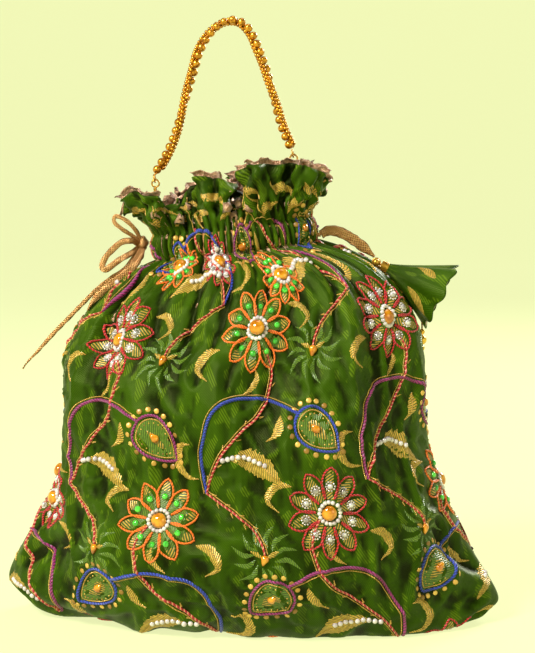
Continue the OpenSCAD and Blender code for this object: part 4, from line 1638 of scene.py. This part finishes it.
@dataclass
class Tassel:
    """The flared brocade cone with its ruffled rim, tissue lining, and hanging gold beads."""

    pivot: tuple[float, float, float] = (65.0, 6.0, 186.5)
    lean: float = 117.0
    start: float = 6.9
    length: float = 31.0
    throat: float = 2.6
    mouth: float = 19.0
    folds: int = 7
    thread: tuple = ((71.5, 6, 183.2), (75, 6, 181), (79, 6, 177.5), (82.5, 6, 172.5), (85.5, 6, 166.5),
                     (87.6, 6, 160.5), (88.8, 6, 156), (89, 6, 152), (89, 6, 147), (89, 6, 142),
                     (89, 6, 136))

    def surface(self, inset: float, v: Array, a: Array) -> Array:
        """Points on the cone: the radius grows as v^1.15, and folds deepen towards the rim.

        Args:
            inset: distance inside the outer face.
            v: place down the cone, 0 to 1.
            a: place round it, in radians.

        Returns:
            Points in the part's frame.
        """
        axis = np.array([math.sin(math.radians(self.lean)), 0, math.cos(math.radians(self.lean))])
        side, deep = np.array([axis[2], 0, -axis[0]]), np.array([0.0, 1.0, 0.0])
        ruffle = np.sin(self.folds * a + 0.6) * 1.5 + 0.7 * np.sin(3 * a + 1)
        radius = self.throat + (self.mouth - 1.6 - self.throat) * v**1.1 + ruffle * v**1.7 - inset
        along = self.start + self.length * v * (1 - 0.035 * np.cos(self.folds * a + 2.0) * v**2)
        return (np.array(self.pivot) + axis * along[..., None]
                + radius[..., None] * (np.cos(a)[..., None] * side + np.sin(a)[..., None] * deep))

    def shell(self, name: str, inset: float, reach: float, wall: float, material: Material,
              slot: str, node: str) -> Object:
        """One layer of the cone, as a sheet closed round the axis.

        Args:
            name: the piece's name.
            inset: distance inside the outer face.
            reach: how far down the cone it goes, 0 to 1.
            wall: its thickness.
            material: its material.
            slot: the record's material slot.
            node: the CAD node that it replaces.

        Returns:
            The piece.
        """
        rows, cols = 34, 112
        v, a = np.meshgrid(np.linspace(0.0, reach, rows), np.arange(cols) * 2 * math.pi / cols,
                           indexing="ij")
        points = self.surface(inset, v, -a)
        uv = np.stack(np.meshgrid(np.arange(cols + 1) / cols * 90, np.linspace(0, 30, rows)), -1)
        bag = MeshBag()
        bag.grid(points[:, ::-1], uv[:, ::-1], closed=True)
        piece = bag.build(name, Body.TASSEL, material, slot)
        thicken(piece, wall)
        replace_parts(piece, node)
        return piece

    def build(self, brocade: Brocade) -> None:
        """Makes the cone, its lining, the woven leaves on it, and the hanging beads.

        Args:
            brocade: the cone's cloth.
        """
        green, tissue = brocade.make("tassel_brocade"), Tissue("c9a58a", "6d4a36").make("tassel_tissue")
        self.shell("tassel_brocade_cone", 0.0, 1.0, 0.6, green, "brocade", "tassel_cone")
        self.shell("tassel_tissue_lining", 1.0, 0.985, 0.2, tissue, "tissue", "tassel_cone_lining")
        leaves, thread, large, small = MeshBag(), MeshBag(), MeshBag(), MeshBag()
        for turn, size in ((-0.9, 1.0), (-2.4, 0.8), (0.8, 0.9), (2.3, 0.8)):
            s = np.linspace(0, 1, 26)[:, None]
            w = np.linspace(-1, 1, 7)[None, :]
            v = 0.42 + 0.46 * s * size + 0 * w
            a = turn + 0.5 * (s - 0.5) + w * 0.3 * np.sin(math.pi * s) ** 0.7 * size
            points = self.surface(-0.22 * np.sqrt(np.maximum(1 - w**2, 0)) + 0.12 + 0 * s, v, a)
            leaves.grid(points, np.stack([12 * s + 0 * w, 3 * w + 0 * s], -1))
        leaves.build("tassel_gold_leaves", Body.TASSEL, WovenGold().make("tassel_gold_leaves"), "gold_thread")
        tube(thread, even_curve(self.thread, 60), 0.45, 8)
        balls_at(large, np.array([[89, 6, 146.0]]), 2.5, 24, 16)
        balls_at(small, np.array([[89, 6, 150.3], [89, 6, 141.7]]), 1.5, 20, 12)
        gold, cord = Gilt().make("tassel_gold_beads"), Thread("caa055", "7b5420").make("tassel_thread")
        for bag, name, finish, slot, node in (
                (thread, "tassel_hanging_thread", cord, "gold_thread", "tassel_thread"),
                (large, "tassel_large_bead", gold, "gold_beads", "tassel_beads_large"),
                (small, "tassel_small_beads", gold, "gold_beads", "tassel_beads_small")):
            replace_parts(bag.build(name, Body.TASSEL, finish, slot), node)


@dataclass
class Studio:
    """Camera, pale seamless floor and soft lights."""

    backdrop: str = "f0f6b8"
    glow: float = 0.915
    sunk: float = 0.0004
    sides: int = 96
    lens: float = 100.0
    distance: float = 0.915
    azimuth: float = 5.0
    elevation: float = 5.5
    aim: tuple[float, float, float] = (0.0114, -0.03, 0.1558)
    lit_point: tuple[float, float, float] = (0.0, 0.0, 0.14)
    sky: tuple[float, float, float, float] = (0.9, 0.93, 0.85, 1.0)
    sky_strength: float = 0.08
    lamps: tuple = (("key", (-0.75, -1.0, 1.15), 0.4, 42, (1.0, 0.98, 0.92)),
                    ("fill", (1.1, -0.8, 0.5), 0.8, 2, (1.0, 0.98, 0.94)),
                    ("top", (0.1, 0.2, 1.3), 0.6, 3, (1, 1, 1)),
                    ("behind", (0.8, 1.2, 0.9), 0.5, 26, (1.0, 0.97, 0.92)))

    def camera(self) -> None:
        """Puts the camera at the viewing angle, aimed at the sack."""
        a, e = math.radians(self.azimuth), math.radians(self.elevation)
        back = Vector((math.sin(a) * math.cos(e), -math.cos(a) * math.cos(e), math.sin(e)))
        data = bpy.data.cameras.new("camera")
        data.lens, data.sensor_width, data.clip_end = self.lens, 36.0, 50.0
        camera = bpy.data.objects.new("camera", data)
        camera.location = Vector(self.aim) + back * self.distance
        camera.rotation_euler = (-back).to_track_quat("-Z", "Y").to_euler()
        bpy.context.scene.collection.objects.link(camera)
        bpy.context.scene.camera = camera

    def floor(self) -> None:
        """A round floor that curves up into a wall on every side: a profile turned about Z.

        The wall is an arc of 1.6 m radius from 3 m out, and the middle is closed by a fan.
        """
        bend = np.linspace(0, math.pi / 2, 14)
        reach = np.concatenate([[0.05, 1.0, 2.4], 3.0 + 1.6 * np.sin(bend), [4.61]])
        height = np.concatenate([[0, 0, 0], 1.6 - 1.6 * np.cos(bend), [2.2]]) - self.sunk
        sides = np.arange(self.sides)
        turn = sides * 2 * math.pi / self.sides
        points = np.stack([np.outer(reach, np.cos(turn)), np.outer(reach, np.sin(turn)),
                           np.repeat(height[:, None], self.sides, 1)], -1)[:, ::-1].reshape(-1, 3)
        row, side = (each.ravel() for each in np.meshgrid(np.arange(len(reach) - 1), sides, indexing="ij"))
        low, high, beside = row * self.sides, (row + 1) * self.sides, (side + 1) % self.sides
        quads = np.stack([low + side, low + beside, high + beside, high + side], 1)
        fan = np.stack([np.full(self.sides, len(points)), (sides + 1) % self.sides, sides], 1)
        mesh = bpy.data.meshes.new("studio_floor")
        mesh.from_pydata(np.vstack([points, [[0, 0, height[0]]]]).tolist(), [], quads.tolist() + fan.tolist())
        mesh.polygons.foreach_set("use_smooth", np.ones(len(mesh.polygons), bool))
        mesh.materials.append(Plain(self.backdrop, self.glow).make("studio_floor"))
        floor = bpy.data.objects.new("studio_floor", mesh)
        bpy.context.scene.collection.objects.link(floor)

    def light(self, name: str, place: tuple, size: float, watts: float, colour: tuple) -> None:
        """A soft square light aimed at the sack.

        Args:
            name: the lamp's name.
            place: its place, in metres.
            size: its side, in metres.
            watts: its power.
            colour: its colour.
        """
        data = bpy.data.lights.new(name, "AREA")
        data.size, data.energy, data.color = size, watts, colour
        lamp = bpy.data.objects.new(name, data)
        lamp.location = place
        lamp.rotation_euler = (Vector(self.lit_point) - Vector(place)).to_track_quat("-Z", "Y").to_euler()
        bpy.context.scene.collection.objects.link(lamp)

    def lights(self) -> None:
        """Key from the upper left of the front, fills at the sides and behind, and a plain world."""
        for lamp in self.lamps:
            self.light(*lamp)
        world = bpy.data.worlds.new("studio_world")
        world.use_nodes = True
        sky = world.node_tree.nodes["Background"].inputs
        sky["Color"].default_value, sky["Strength"].default_value = self.sky, self.sky_strength
        scene = bpy.context.scene
        scene.world = world
        scene.view_settings.view_transform, scene.view_settings.look = "Standard", "None"


# ---------------------------------------------------------------- the whole object


@dataclass
class Sack:
    """The gift sack's pieces, in the order they are made."""

    frame: dict
    front: Cloth = field(default_factory=lambda: Cloth(Side.FRONT))
    back: Cloth = field(default_factory=lambda: Cloth(Side.BACK))

    def repaint(self, finish: object, name: str, *nodes: str) -> None:
        """Gives kept CAD nodes a finish.

        Args:
            finish: the finish.
            name: the material's name.
            nodes: CAD nodes that stay visible.
        """
        material = finish.make(name)
        for node in nodes:
            mesh = self.frame["nodes"][node].data
            mesh.materials.clear()
            mesh.materials.append(material)

    def build(self) -> None:
        """Makes every piece."""
        Drawstrings().build()
        for cloth in (self.front, self.back):
            cloth.shape()
            cloth.dress(Brocade())
            cloth.line(Tissue())
        Embroidery(self.front, self.back).build()
        Handle().build()
        Tassel().build(Brocade())
        self.repaint(Gilt("d9a63c", "8f6217", scale=900), "gold_wire", "handle_anchors",
                     "handle_anchor_rings", "handle_end_rings", "tassel_eye", "tassel_ring", "tassel_cap")
        self.repaint(Gilt("c98f58", "6b3d1c", 0.4, 0.6, 1500), "ribbon_in_casing", "left_drawstring_loop",
                     "right_drawstring_loop", "left_stub", "right_stub")


def main(frame: dict) -> None:
    """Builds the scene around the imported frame.
    """
    logging.basicConfig(level=logging.INFO, format="%(name)s: %(message)s")
    studio = Studio()
    studio.camera()
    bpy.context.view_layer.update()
    Sack(frame).build()
    studio.floor()
    studio.lights()


if __name__ == "__main__":
    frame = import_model()
    main(frame)
